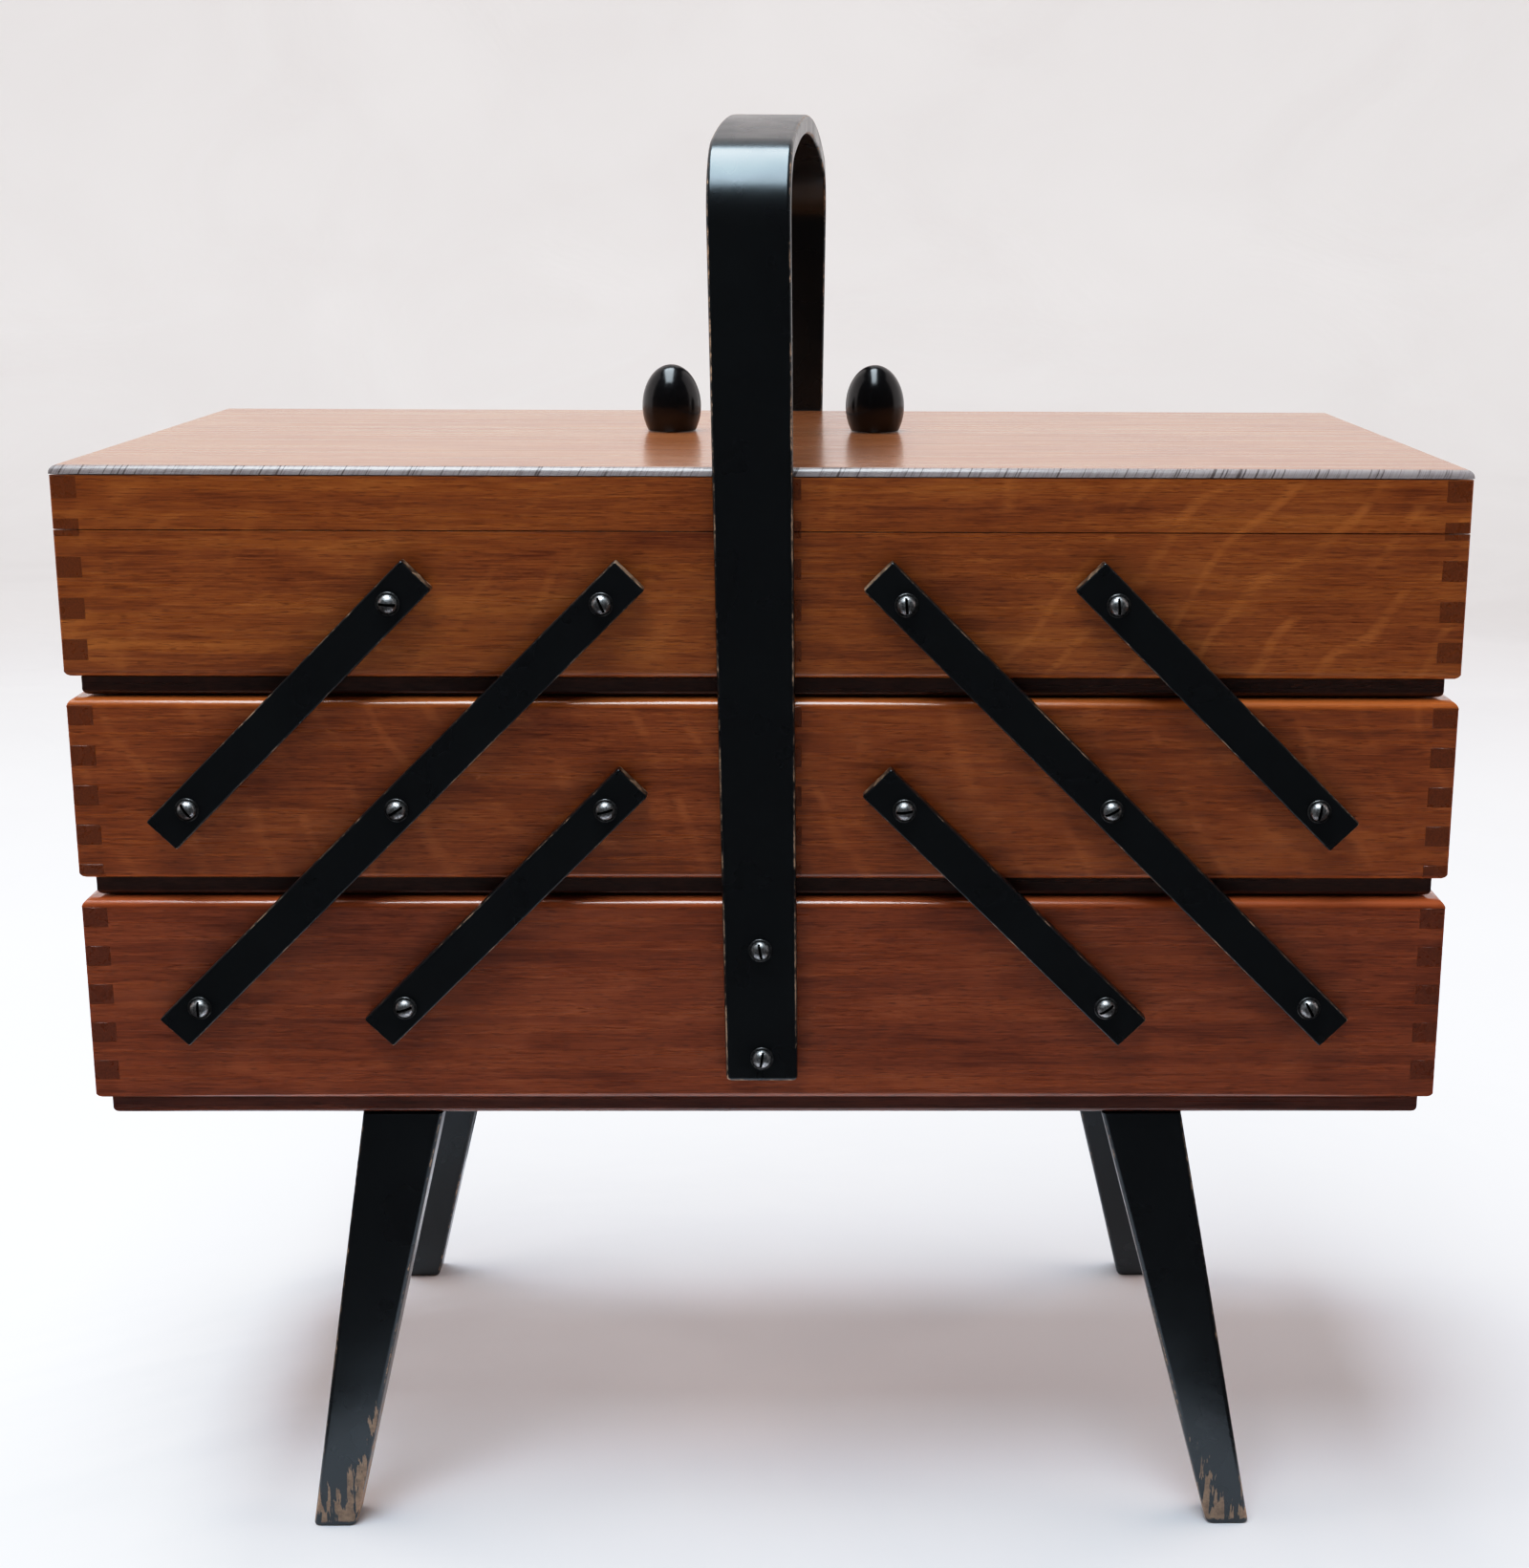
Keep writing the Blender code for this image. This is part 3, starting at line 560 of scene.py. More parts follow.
def keep_flats_flat(piece, angle=40):
    """Gives large flat faces their own normal, so that only the rounded edges look round."""
    piece.data.shade_smooth()
    piece.data.set_sharp_from_angle(angle=math.radians(angle))
    weighted = piece.modifiers.new("Flats", "WEIGHTED_NORMAL")
    weighted.mode = "FACE_AREA"
    weighted.weight = 100
    weighted.keep_sharp = True
    apply_modifiers(piece)


def loft(sections):
    """A closed body through sections of equally many points each."""
    bm = bmesh.new()
    rings = [[bm.verts.new(point) for point in section] for section in sections]
    count = len(rings[0])
    for first, second in zip(rings, rings[1:]):
        for i in range(count):
            j = (i + 1) % count
            bm.faces.new((first[i], first[j], second[j], second[i]))
    bm.faces.new(rings[0])
    bm.faces.new(rings[-1][::-1])
    return bm


def rounded_rectangle(width, height, radius, steps):
    """Points around a rectangle with round corners, about its middle, and how far each is into a corner."""
    points = []
    for corner, (sx, sy) in enumerate(((1, 1), (-1, 1), (-1, -1), (1, -1))):
        centre = (sx * (width / 2 - radius), sy * (height / 2 - radius))
        for step in range(steps + 1):
            angle = math.pi / 2 * (corner + step / steps)
            depth = math.sin(math.pi * step / steps)
            points.append((centre[0] + radius * math.cos(angle), centre[1] + radius * math.sin(angle), depth))
    return points


def set_floats(mesh, name, values):
    """Stores a number on each point for the materials to read."""
    attribute = mesh.attributes.new(name, "FLOAT", "POINT")
    attribute.data.foreach_set("value", values)


def set_on_faces(mesh, name, measure):
    """Stores a number that is the same all over each face."""
    values = []
    for face in mesh.polygons:
        values += [measure(face)] * face.loop_total
    attribute = mesh.attributes.get(name) or mesh.attributes.new(name, "FLOAT", "CORNER")
    attribute.data.foreach_set("value", values)


# ---------------------------------------------------------------- boards

def random_shift(draw):
    return Vector((draw.uniform(0, 3), draw.uniform(0, 3), draw.uniform(0, 3)))


def set_grain(piece, axis, shift):
    """Stores each point's place in the board's grain space, and on each face how far it cuts the grain.

    The grain runs along X for axis 0 and along Y for axis 1, and the board grew along Z.
    """
    first, third = Vector((1, 0, 0) if axis == 0 else (0, 1, 0)), Vector((0, 0, 1))
    second = third.cross(first)
    mesh = piece.data
    values = []
    for vertex in mesh.vertices:
        place = vertex.co + shift
        values += [place.dot(first), place.dot(second), place.dot(third)]
    grain = mesh.attributes.new("grain", "FLOAT_VECTOR", "POINT")
    grain.data.foreach_set("vector", values)
    set_on_faces(mesh, "end", lambda face: min(1.0, max(0.0, (abs(face.normal.dot(first)) - 0.5) * 2.5)))


def finger_spans(kind, low_z, high_z):
    """The heights that the end boards' fingers take at the corners."""
    spans = []
    top = high_z - FINGER_START[kind]
    while top > low_z:
        bottom = max(top - FINGER_HEIGHT, low_z)
        if min(top, high_z) - bottom > FINGER_LEAST_HEIGHT:
            spans.append((bottom, min(top, high_z)))
        top -= FINGER_PITCH
    return spans


def between(spans, low_z, high_z):
    """The heights that spans leave free."""
    free = []
    level = low_z
    for bottom, top in sorted(spans):
        if bottom > level + SAME_PLACE:
            free.append((level, bottom))
        level = top
    if high_z > level + SAME_PLACE:
        free.append((level, high_z))
    return free


def comb_block(axis, ends, across, low_z, high_z, cut_spans):
    """A board with both ends notched where the other boards' fingers go. Axis is 0 along X or 1 along Y."""
    def corner(along, side, z):
        return (along, side, z) if axis == 0 else (side, along, z)

    heights = [(*span, True) for span in cut_spans]
    heights += [(*span, False) for span in between(cut_spans, low_z, high_z)]
    heights.sort()

    def outline(end, inwards):
        points = []
        for bottom, top, is_cut in heights:
            place = end + inwards * (WALL + JOINT_GAP) if is_cut else end
            points += [(place, bottom + (JOINT_GAP if not is_cut and bottom > low_z else 0)),
                       (place, top - (JOINT_GAP if not is_cut and top < high_z else 0))]
        return points

    right = outline(ends[1], -1)
    left = outline(ends[0], 1)
    loop = right + left[::-1]
    bm = bmesh.new()
    near = [bm.verts.new(corner(along, across[0], z)) for along, z in loop]
    far = [bm.verts.new(corner(along, across[1], z)) for along, z in loop]
    bm.faces.new(near)
    bm.faces.new(far[::-1])
    for i in range(len(loop)):
        j = (i + 1) % len(loop)
        bm.faces.new((near[j], near[i], far[i], far[j]))
    return bm


def box_frame(node, kind, body, material, seed, rounded, holes):
    """The four finger-jointed boards of a box, tray or lid, standing for its CAD frame."""
    low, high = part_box(node)
    fingers = finger_spans(kind, low.z, high.z)
    gaps = between(fingers, low.z, high.z)
    boards = {
        "front_board": (0, (low.x, high.x), (low.y, low.y + WALL), fingers),
        "rear_board": (0, (low.x, high.x), (high.y - WALL, high.y), fingers),
        "left_end": (1, (low.y, high.y), (low.x, low.x + WALL), gaps),
        "right_end": (1, (low.y, high.y), (high.x - WALL, high.x), gaps),
    }
    draw = random.Random(seed)
    stem = node.replace("_frame", "")
    for name, (axis, ends, across, spans) in boards.items():
        piece = mesh_object(f"{stem}_{name}", comb_block(axis, ends, across, low.z, high.z, spans), material)
        outer = block(low, high)
        if rounded:
            round_edges(outer, level_at(high.z), RIM_RADIUS, RIM_STEPS)
        if kind != "lid":
            round_edges(outer, level_at(low.z), FOOT_RADIUS, FOOT_STEPS)
        round_edges(outer, upright, CORNER_RADIUS, CORNER_STEPS)
        boolean(piece, [outer], "INTERSECT")
        near = [hole for hole in holes if abs(hole.y - sum(across) / 2) < WALL] if axis == 0 else []
        if near:
            through = Vector((0, WALL, 0))
            boolean(piece, [rod(HOLE_RADIUS, hole - through, hole + through) for hole in near], "DIFFERENCE")
        soften(piece, ARRIS)
        set_grain(piece, axis, random_shift(draw))
        if rounded:
            # Where the rims' painted highlight lies
            set_floats(piece.data, "worn", [rim_light_share(vertex.co, low, high) for vertex in piece.data.vertices])
        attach(piece, body)
        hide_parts(node)


def rim_light_share(point, low, high):
    """How far round the rounded outer top edge a point is, 0 on the wall and 1 on its top: the rims' painted
    highlight.
    """
    out = min(point.x - low.x, high.x - point.x, point.y - low.y, high.y - point.y)
    lift = (point.z - (high.z - RIM_RADIUS)) / RIM_RADIUS
    return min(1.0, max(0.0, lift * 2.0 - 0.35)) if out < RIM_RADIUS + 0.0001 else 0.0


def base_board(node, body, material, seed, shade_painted_outside=False):
    """A base with rounded lower edges. A tray's has painted shade: all but its top faces take the dark end
    tone, for the gap under the tray.
    """
    low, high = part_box(node)
    bm = block(low, high)
    round_edges(bm, level_at(low.z), BASE_RADIUS, FOOT_STEPS)
    piece = mesh_object(node + "_board", bm, material)
    soften(piece, ARRIS * 2)
    set_grain(piece, 0, random_shift(random.Random(seed)))
    # Painted shade: every face but the top takes the dark end tone
    if shade_painted_outside:
        set_on_faces(piece.data, "end", lambda face: 0.0 if face.normal.z > 0.9 else 1.0)
    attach(piece, body)
    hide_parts(node)


def lid_top(side, material):
    """A lid's top board with its rounded edges, drilled for the knob's spigot."""
    node = f"{side}_lid_top"
    low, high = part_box(node)
    bm = block(low, high)
    round_edges(bm, level_at(high.z), LID_TOP_RADIUS, RIM_STEPS)
    piece = mesh_object(node + "_board", bm, material)
    knob_low, knob_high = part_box(f"{side}_knob")
    centre = (knob_low + knob_high) / 2
    drill = rod(SPIGOT_HOLE_RADIUS, (centre.x, centre.y, low.z - WALL), (centre.x, centre.y, high.z + WALL))
    boolean(piece, [drill], "DIFFERENCE")
    keep_flats_flat(piece)
    set_grain(piece, 0, Vector((0.3 * SIDES[side], 0.7, 1.1 + SIDES[side])))
    set_on_faces(piece.data, "rim", lambda face: 0.0 if abs(face.normal.z) > 0.985 else 1.0)
    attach(piece, f"{side}_lid")
    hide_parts(node)


# ---------------------------------------------------------------- turned pieces

def turned(profile, steps):
    """A shape turned about Z. The profile is (radius, height), from its top to its bottom."""
    bm = bmesh.new()
    points = [bm.verts.new((radius, 0, height)) for radius, height in profile]
    edges = [bm.edges.new(pair) for pair in zip(points, points[1:])]
    bmesh.ops.spin(bm, geom=points + edges, cent=(0, 0, 0), axis=(0, 0, 1), angle=2 * math.pi, steps=steps)
    bmesh.ops.remove_doubles(bm, verts=bm.verts, dist=1e-6)
    return bm


def arc(centre, radius, start, end, steps):
    """Points (radius, height) along an arc, in degrees from the outward direction."""
    angles = [math.radians(start + (end - start) * step / steps) for step in range(steps + 1)]
    return [(centre[0] + radius * math.cos(a), centre[1] + radius * math.sin(a)) for a in angles]


def screw_mesh(standoff, grip):
    """A slotted round-headed screw along Z with its washers. z = 0 is the wood's face."""
    under_head = standoff + grip + CLEARANCE
    head = under_head + WASHER_THICKNESS
    profile = []
    for step in range(DOME_STEPS + 1):
        angle = math.pi / 2 * step / DOME_STEPS
        profile.append((HEAD_RADIUS * math.sin(angle), head + HEAD_HEIGHT * math.cos(angle)))
    edge = WASHER_THICKNESS * 0.3
    profile += arc((WASHER_RADIUS - edge, head - edge), edge, 90, 0, 3)
    profile += [(WASHER_RADIUS, under_head), (SHANK_RADIUS, under_head)]
    if standoff > WASHER_THICKNESS:
        profile += [(SHANK_RADIUS, standoff - CLEARANCE), (WASHER_RADIUS, standoff - CLEARANCE)]
        profile += [(WASHER_RADIUS, CLEARANCE), (SHANK_RADIUS, CLEARANCE)]
    profile += [(SHANK_RADIUS, -SHANK_IN_WOOD + SHANK_POINT), (0, -SHANK_IN_WOOD)]
    piece = mesh_object("screw", turned(profile, SCREW_STEPS), smooth_angle=35)
    crown = Vector((0, 0, head + HEAD_HEIGHT))
    reach = Vector((HEAD_RADIUS, SLOT_WIDTH / 2, SLOT_DEPTH))
    boolean(piece, [block(crown - reach, crown + reach)], "DIFFERENCE")
    mesh = piece.data
    bpy.data.objects.remove(piece)
    mesh.shade_smooth()
    mesh.set_sharp_from_angle(angle=math.radians(35))
    for face in mesh.polygons:
        # Faces in the slot take the near-black painted shade
        in_slot = abs(face.center.y) < SLOT_WIDTH * 0.51 and face.center.z < crown.z - 0.0002
        if face.center.z < head + 1e-5:
            face.material_index = DARKER
        elif in_slot and abs(face.normal.x) < 0.5:
            face.material_index = SLOT_SHADE
        else:
            face.material_index = PLATE
    return mesh


def add_screw(name, mesh, place, sign, angle, body, finishes, node=None):
    """Puts a screw in a front (sign -1) or rear (sign 1) wall. Without a node it stands for no CAD screw."""
    piece = bpy.data.objects.new(name, mesh.copy())
    bpy.context.scene.collection.objects.link(piece)
    piece.data.materials.clear()
    for finish in finishes:
        piece.data.materials.append(finish)
    # Clearing the materials sets every face back to the first one
    piece.data.polygons.foreach_set("material_index", [face.material_index for face in mesh.polygons])
    turn = Matrix.Rotation(-sign * math.pi / 2, 4, "X") @ Matrix.Rotation(angle, 4, "Z")
    piece.matrix_world = Matrix.Translation(place) @ turn
    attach(piece, body)
    if node:
        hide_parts(node)


def knob(side, material):
    """An egg-shaped knob on its spigot."""
    node = f"{side}_knob"
    low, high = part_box(node)
    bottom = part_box(f"{side}_lid_top")[1].z + CLEARANCE
    radius = (high.x - low.x) / 2
    height = high.z - bottom
    widest = height * KNOB_WIDEST_SHARE
    start = math.acos(KNOB_BASE_RADIUS / radius)
    profile = []
    for step in range(KNOB_UPPER_STEPS):
        angle = math.pi / 2 * (1 - step / KNOB_UPPER_STEPS)
        profile.append((radius * math.cos(angle), widest + (height - widest) * math.sin(angle)))
    for step in range(KNOB_LOWER_STEPS + 1):
        angle = -start * step / KNOB_LOWER_STEPS
        profile.append((radius * math.cos(angle), widest + widest * math.sin(angle) / math.sin(start)))
    profile += [(SPIGOT_RADIUS, 0), (SPIGOT_RADIUS, low.z - bottom), (0, low.z - bottom)]
    bm = turned(profile, KNOB_STEPS)
    centre = (low + high) / 2
    bmesh.ops.translate(bm, vec=(centre.x, centre.y, bottom), verts=bm.verts)
    piece = mesh_object(node + "_turned", bm, material, 50)
    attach(piece, f"{side}_lid")
    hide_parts(node)


# ---------------------------------------------------------------- painted pieces

def arm(node, pivots, body, material):
    """A bar through its pivots, with softened edges, standing for a CAD arm."""
    low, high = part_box(node)
    start, end = pivots[0], pivots[-1]
    length = (end - start).length
    thickness = high.y - low.y
    section = rounded_rectangle(thickness, ARM_WIDTH, ARM_EDGE, 3)
    core = rounded_rectangle(thickness - 2 * ARM_EDGE, ARM_WIDTH - 2 * ARM_EDGE, 1e-5, 3)
    sections, edges = [], []
    rounding = ((0.0, 0.0), (0.3, 0.7), (1.0, 1.0))
    stations = [(ARM_EDGE * depth - ARM_OVERHANG, share) for depth, share in rounding]
    stations += [(length + ARM_OVERHANG - ARM_EDGE * depth, share) for depth, share in rounding[::-1]]
    for x, share in stations:
        ring = [(c[0] + (s[0] - c[0]) * share, c[1] + (s[1] - c[1]) * share) for s, c in zip(section, core)]
        sections.append([(x, y, z) for y, z in ring])
        edges += [1.0 if share < 1 else s[2] for s in section]
    piece = mesh_object(node + "_bar", loft(sections), material, 50)
    set_floats(piece.data, "edge", edges)
    holes = [(point - start).length for point in pivots]
    boolean(piece, [rod(HOLE_RADIUS, (x, -thickness, 0), (x, thickness, 0)) for x in holes], "DIFFERENCE")
    keep_flats_flat(piece, 50)
    along = end - start
    middle_y = (low.y + high.y) / 2
    turn = Matrix.Rotation(-math.atan2(along.z, along.x), 4, "Y")
    piece.matrix_world = Matrix.Translation((start.x, middle_y, start.z)) @ turn
    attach(piece, body)
    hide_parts(node)


def level_span(node, z):
    """A CAD node's extent at one of its ends in height."""
    points = [vertex.co for vertex in frame["nodes"][node].data.vertices if abs(vertex.co.z - z) < 1e-4]
    low = Vector(min(point[i] for point in points) for i in range(3))
    high = Vector(max(point[i] for point in points) for i in range(3))
    return low, high


def leg(corner, material):
    """A tapered board with softened edges, standing for a CAD leg."""
    node = f"{corner}_leg"
    low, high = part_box(node)
    foot = level_span(node, low.z)
    top = level_span(node, high.z)
    inwards = 1 if "left" in corner else -1
    levels = [(0.0, 0.75), (LEG_SOLE / 3, 0.3), (LEG_SOLE, 0.0)]
    levels += [(LEG_SOLE + (high.z - LEG_SOLE) * step / LEG_STEPS, 0.0) for step in range(1, LEG_STEPS + 1)]
    wear = 1.0 if "left" in corner else RIGHT_FOOT_WEAR
    sections, edges, inner = [], [], []
    for z, tuck in levels:
        share = z / high.z
        centre = (foot[0] + foot[1]) / 2 * (1 - share) + (top[0] + top[1]) / 2 * share
        size = (foot[1] - foot[0]) * (1 - share) + (top[1] - top[0]) * share
        shrink = tuck * LEG_EDGE
        ring = rounded_rectangle(size.x - shrink, size.y - shrink, LEG_EDGE, 4)
        sections.append([(centre.x + x, centre.y + y, z) for x, y, _ in ring])
        edges += [max(depth, 1.0 if tuck else 0.0) for _, _, depth in ring]
        inner += [wear if x * inwards > size.x / 4 else 0.0 for x, _, _ in ring]
    piece = mesh_object(node + "_board", loft(sections), material, 60)
    set_floats(piece.data, "edge", edges)
    set_floats(piece.data, "inner", inner)
    set_floats(piece.data, "scuffed", [1.0 if "front" in corner else 0.0] * len(inner))
    keep_flats_flat(piece, 60)
    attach(piece, "box")
    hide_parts(node)


def handle_lean(y, z, foot_z, top_z, face_y):
    """How far the strap's middle line is from x = 0."""
    rear_share = (y + face_y) / (2 * face_y)
    height_share = (z - foot_z) / (top_z - foot_z)
    front, rear = [foot + (top - foot) * height_share for foot, top in HANDLE_X.values()]
    return front * (1 - rear_share) + rear * rear_share


def handle_line(foot_z, reach, top):
    """The strap's outer outline from the front foot to the rear one, as (y, z, outward direction)."""
    def on_arc(y, z, radius, angle):
        return (y + radius * math.cos(angle), z + radius * math.sin(angle), angle)

    corner_y = reach - HANDLE_CORNER_RADIUS
    apart = HANDLE_CROWN_RADIUS - HANDLE_CORNER_RADIUS
    crown_z = top - HANDLE_CROWN_RADIUS
    corner_z = crown_z + math.sqrt(apart**2 - corner_y**2)
    meeting = math.atan2(corner_z - crown_z, corner_y)
    start_z = foot_z + HANDLE_EDGE
    half = [(reach, foot_z, 0.0), (reach, foot_z + 0.0005, 0.0), (reach, start_z, 0.0)]
    for step in range(1, STRAIGHT_STEPS):
        half.append((reach, start_z + (corner_z - start_z) * step / STRAIGHT_STEPS, 0.0))
    for step in range(CORNER_BEND_STEPS + 1):
        half.append(on_arc(corner_y, corner_z, HANDLE_CORNER_RADIUS, meeting * step / CORNER_BEND_STEPS))
    for step in range(1, CROWN_STEPS + 1):
        angle = meeting + (math.pi / 2 - meeting) * step / CROWN_STEPS
        half.append(on_arc(0.0, crown_z, HANDLE_CROWN_RADIUS, angle))
    return [(-y, z, math.pi - angle) for y, z, angle in half[:-1]] + half[::-1]


def handle(material, holes):
    """The bentwood strap, lofted along its outline with a soft-edged section."""
    low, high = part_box("handle")
    box_low, box_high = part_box("lower_box_frame")
    top = high.z
    line = handle_line(low.z, high.y, top)
    sections, edges = [], []
    for number, (y, z, angle) in enumerate(line):
        share = (z - low.z) / (top - low.z)
        width = HANDLE_FOOT_WIDTH + (HANDLE_TOP_WIDTH - HANDLE_FOOT_WIDTH) * share
        from_end = min(number, len(line) - 1 - number)
        tuck = (0.9, 0.3, 0.0)[min(from_end, 2)] * HANDLE_EDGE
        middle = handle_lean(y, z, box_low.z, top, box_high.y)
        outward = Vector((0, math.cos(angle), math.sin(angle)))
        centre = Vector((middle, y, z)) - outward * (HANDLE_THICKNESS / 2)
        ring = rounded_rectangle(width - tuck, HANDLE_THICKNESS - tuck, HANDLE_EDGE, 5)
        sections.append([centre + Vector((1, 0, 0)) * u + outward * v for u, v, _ in ring])
        edges += [max(depth, 1.0 if tuck else 0.0) for _, _, depth in ring]
    piece = mesh_object("handle_strap", loft(sections), material, 60)
    set_floats(piece.data, "edge", edges)
    through = Vector((0, 0.01, 0))
    boolean(piece, [rod(HOLE_RADIUS, hole - through, hole + through) for hole in holes], "DIFFERENCE")
    keep_flats_flat(piece, 60)
    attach(piece, "box")
    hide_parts("handle")


# ---------------------------------------------------------------- the whole

def screw_places():
    """Every screw of the CAD model as {node: (axis point on the wall's face, sign of its face)}."""
    places = {}
    face_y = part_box("lower_box_frame")[1].y
    for node in frame["nodes"]:
        if node.endswith("_screw"):
            low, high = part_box(node)
            sign = 1 if high.y > 0 else -1
            places[node] = (Vector(((low.x + high.x) / 2, sign * face_y, (low.z + high.z) / 2)), sign)
    return places


def body_of(node):
    return next(body for body, nodes in frame["record"]["behaviour"]["bodies"].items() if node in nodes)


def build_screws(places, finishes):
    draw = random.Random(11)
    arm_low, arm_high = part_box("left_long_arm_rear")
    face_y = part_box("lower_box_frame")[1].y
    standoff = arm_low.y - face_y
    pivot_mesh = screw_mesh(standoff, arm_high.y - arm_low.y)
    handle_low, handle_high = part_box("handle")
    handle_mesh = screw_mesh(handle_high.y - HANDLE_THICKNESS - face_y, HANDLE_THICKNESS)
    for node, (place, sign) in places.items():
        mesh = handle_mesh if node.startswith("handle") else pivot_mesh
        body = body_of(node)
        add_screw(node + "_turned", mesh, place, sign, draw.uniform(0, math.pi), body, finishes, node)
        if not node.startswith("handle"):
            rear = Vector((place.x, -place.y, place.z))
            name = node.replace("_screw", "_rear_screw")
            add_screw(name, mesh, rear, -sign, draw.uniform(0, math.pi), body, finishes)


def build_arms(places, black):
    rows = {
        "long_arm": ("lower", "middle", "upper"),
        "upper_short_arm": ("middle", "upper"),
        "lower_short_arm": ("lower", "middle"),
    }
    for side in SIDES:
        for kind, levels in rows.items():
            pivots = [places[f"{side}_{kind}_{level}_screw"][0] for level in levels]
            for face in FACES:
                arm(f"{side}_{kind}_{face}", pivots, f"{side}_{kind}s", black)


def build_boards(places):
    woods = {kind: wood_material(kind) for kind in WOOD_TONES}
    points = []
    for node, (place, sign) in places.items():
        points.append(place)
        if not node.startswith("handle"):
            points.append(Vector((place.x, -place.y, place.z)))

    def holes(node):
        low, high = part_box(node)
        return [point for point in points if low.x < point.x < high.x and low.z < point.z < high.z]

    box_frame("lower_box_frame", "lower_box", "box", woods["lower"], 3, True, holes("lower_box_frame"))
    base_board("lower_box_base", "box", woods["base"], 4)
    for side, sign in SIDES.items():
        for kind, rounded in (("middle_tray", True), ("upper_tray", False), ("lid", False)):
            node = f"{side}_{kind}_frame"
            seed = {"middle_tray": 20, "upper_tray": 40, "lid": 40}[kind] + sign
            tone = "middle" if kind == "middle_tray" else "upper"
            box_frame(node, kind, f"{side}_{kind}", woods[tone], seed, rounded, holes(node))
        base_board(f"{side}_middle_tray_base", f"{side}_middle_tray", woods["tray_base"], 30 + sign, True)
        base_board(f"{side}_upper_tray_base", f"{side}_upper_tray", woods["tray_base"], 50 + sign, True)
        lid_top(side, woods["lid"])


def sweep_part(name, start, end, paper, first=0, last=None):
    """Part of a round cove, a floor that sweeps up into a wall, between two directions in degrees."""
    line = [(0.0, 0.0), (STAGE_NEAR, 0.0), (STAGE_RADIUS - STAGE_SWEEP, 0.0)]
    for step in range(1, SWEEP_STEPS + 1):
        angle = math.pi / 2 * step / SWEEP_STEPS
        out = STAGE_RADIUS - STAGE_SWEEP + STAGE_SWEEP * math.sin(angle)
        line.append((out, STAGE_SWEEP * (1 - math.cos(angle))))
    line.append((STAGE_RADIUS, STAGE_HEIGHT))
    line = line[first:last]
    turns = (end - start) // STAGE_STEP
    bm = bmesh.new()
    rows = []
    for radius, z in line:
        angles = [math.radians(start + STAGE_STEP * turn) for turn in range(turns + 1)]
        rows.append([bm.verts.new((radius * math.cos(a), radius * math.sin(a), z)) for a in angles])
    for lower, upper in zip(rows, rows[1:]):
        for turn in range(turns):
            bm.faces.new((lower[turn], lower[turn + 1], upper[turn + 1], upper[turn]))
    bmesh.ops.remove_doubles(bm, verts=bm.verts, dist=1e-5)
    piece = mesh_object(name, bm, paper, 60)
    return piece


def build_stage():
    """A pale paper cove all round. The part in front of the box stands for a dark room: it lights nothing."""
    paper = paper_material()
    sweep_part("near_floor", 0, 360, paper, 0, 2)
    floor = sweep_part("far_floor", 0, 360, paper, 1, 3)
    sweep_part("rear_wall", -10, 190, paper, 2)
    front = sweep_part("front_wall", 190, 350, paper, 2)
    floor.visible_glossy = False
    front.visible_glossy = False
    front.visible_diffuse = False


def area_light(name, place, target, size, power, colour):
    data = bpy.data.lights.new(name, "AREA")
    data.shape = "RECTANGLE"
    data.size, data.size_y = size
    data.energy = power
    data.color = colour
    light = bpy.data.objects.new(name, data)
    light.visible_camera = False
    light.location = place
    light.rotation_euler = (Vector(target) - Vector(place)).to_track_quat("-Z", "Y").to_euler()
    bpy.context.scene.collection.objects.link(light)
    return light


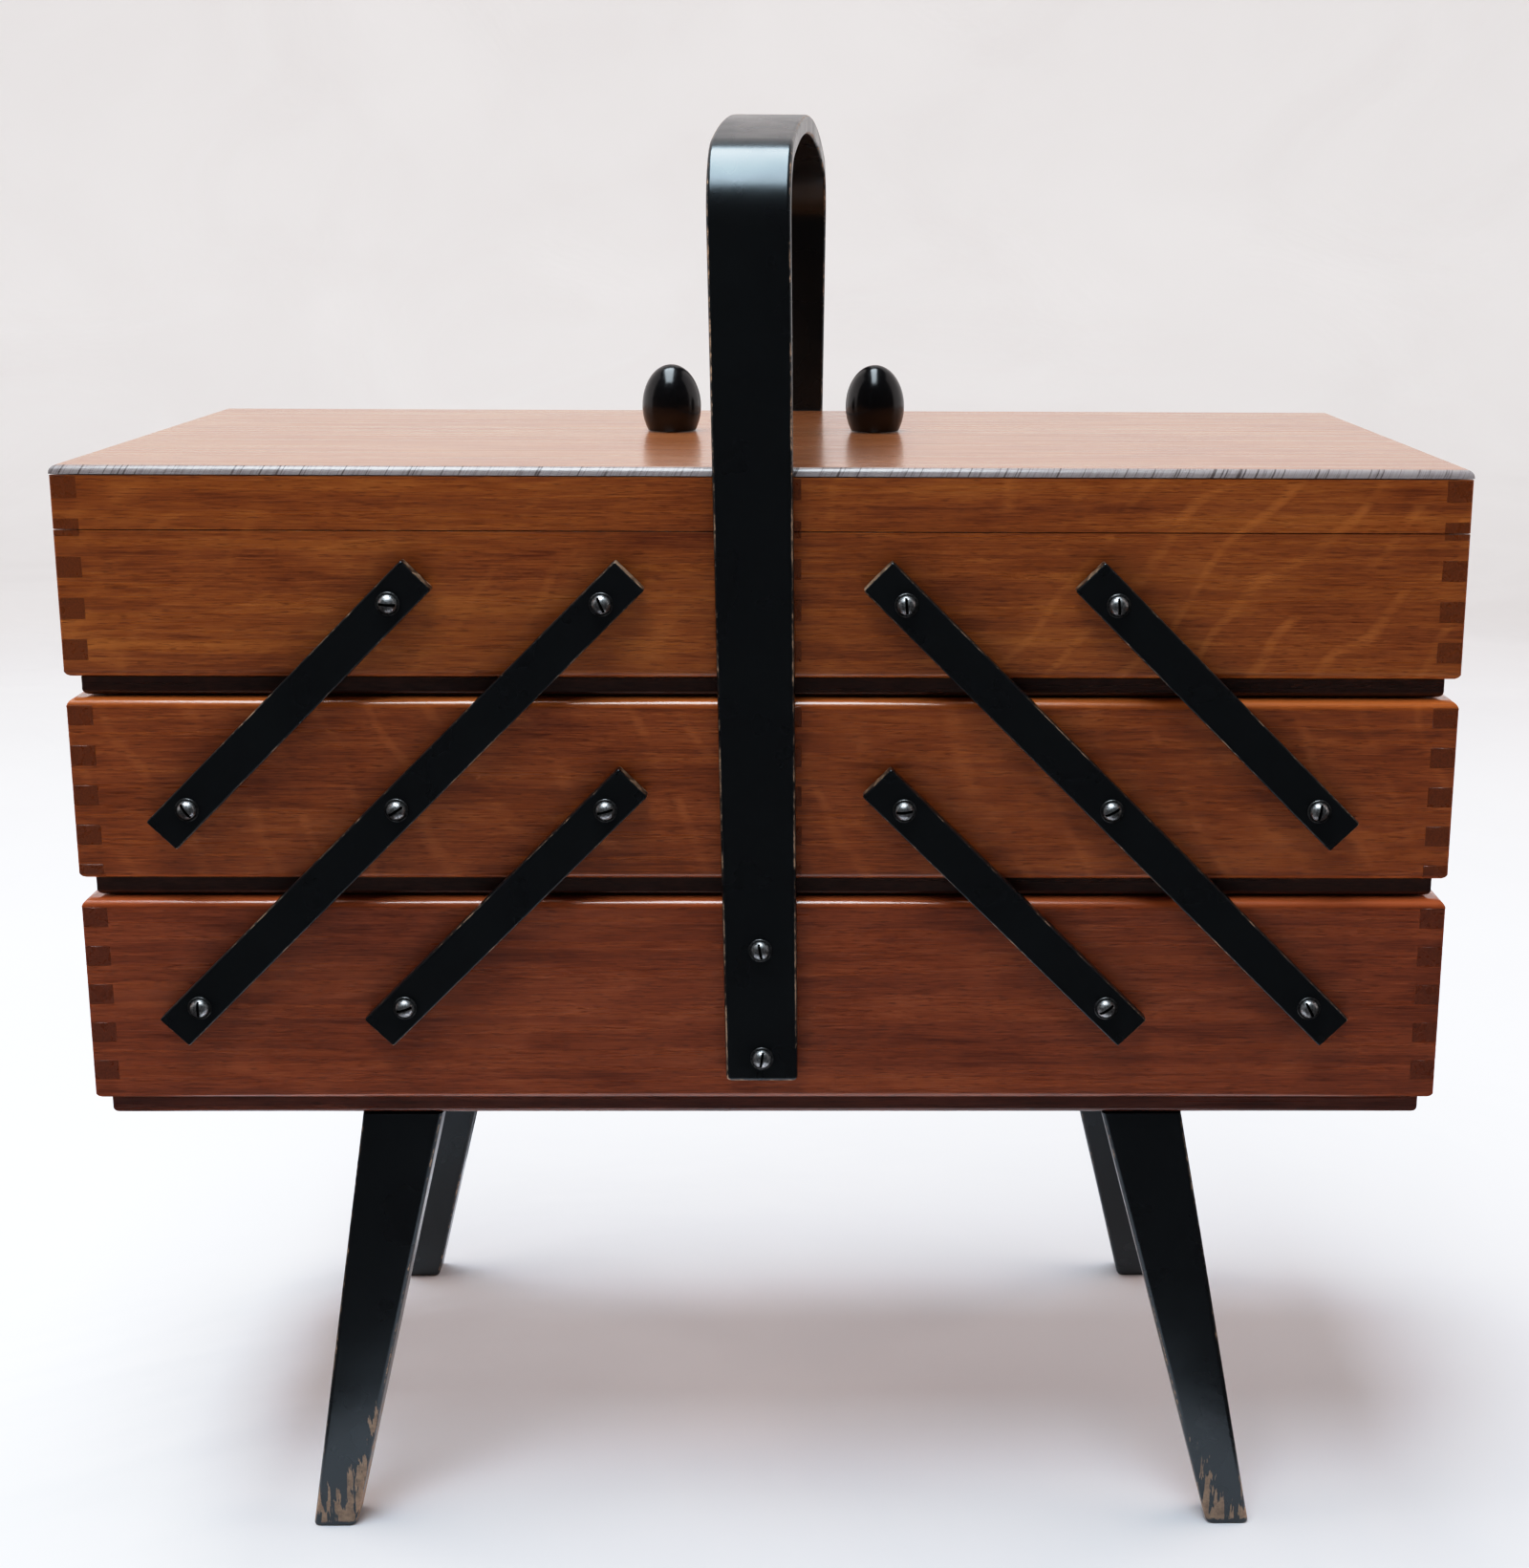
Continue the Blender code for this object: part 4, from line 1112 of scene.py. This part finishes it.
def build_lights():
    """A large soft light above, and two weak fills at the sides that don't show in the varnish."""
    for name, settings in LIGHTS.items():
        area_light(name, *settings).visible_glossy = name == "skylight"
    world = bpy.data.worlds.new("room")
    bpy.context.scene.world = world
    world.use_nodes = True
    background = world.node_tree.nodes["Background"]
    background.inputs["Color"].default_value = ROOM_COLOUR
    background.inputs["Strength"].default_value = ROOM_STRENGTH


def build_camera():
    data = bpy.data.cameras.new("camera")
    data.lens = CAMERA_LENS
    data.sensor_width = CAMERA_SENSOR
    data.shift_x, data.shift_y = CAMERA_SHIFT
    camera = bpy.data.objects.new("camera", data)
    turn = Matrix.Rotation(CAMERA_YAW, 4, "Z") @ Matrix.Rotation(CAMERA_PITCH, 4, "X")
    turn @= Matrix.Rotation(CAMERA_ROLL, 4, "Y")
    camera.matrix_world = Matrix.Translation(CAMERA_PLACE) @ turn @ Matrix.Rotation(math.pi / 2, 4, "X")
    bpy.context.scene.collection.objects.link(camera)
    bpy.context.scene.camera = camera


def set_view():
    """A camera-like response: contrast in the darks and a soft shoulder for the white paper."""
    settings = bpy.context.scene.view_settings
    settings.view_transform = "Standard"
    settings.look = "Medium High Contrast"
    settings.use_curve_mapping = True
    mapping = settings.curve_mapping
    mapping.white_level = (SHOULDER_WHITE,) * 3
    curve = mapping.curves[3]
    curve.points[-1].location = (1.0, SHOULDER[-1][1])
    for light, shown in SHOULDER[:-1]:
        curve.points.new(light / SHOULDER_WHITE, shown)
    mapping.update()


def main():
    build_camera()
    black = painted_material("black_paint_worn", ARM_WEAR)
    leg_black = painted_material("black_paint_legs", LEG_WEAR, legs=True)
    finishes = (
        steel_material("nickel_plate", PLATE_GREYS),
        steel_material("dull_washers", WASHER_GREYS),
        steel_material("slot_grime", SLOT_GREYS),
    )
    brass, lacquer = brass_material(), knob_material()
    places = screw_places()
    build_boards(places)
    build_screws(places, finishes)
    build_arms(places, black)
    for corner in ("front_left", "front_right", "rear_left", "rear_right"):
        leg(corner, leg_black)
    handle(black, [place for node, (place, _) in places.items() if node.startswith("handle")])
    for side in SIDES:
        knob(side, lacquer)
    for node, cad in frame["nodes"].items():
        if "_hinge_" in node:
            cad.data.materials.clear()
            cad.data.materials.append(brass)
    build_stage()
    build_lights()
    set_view()


main()
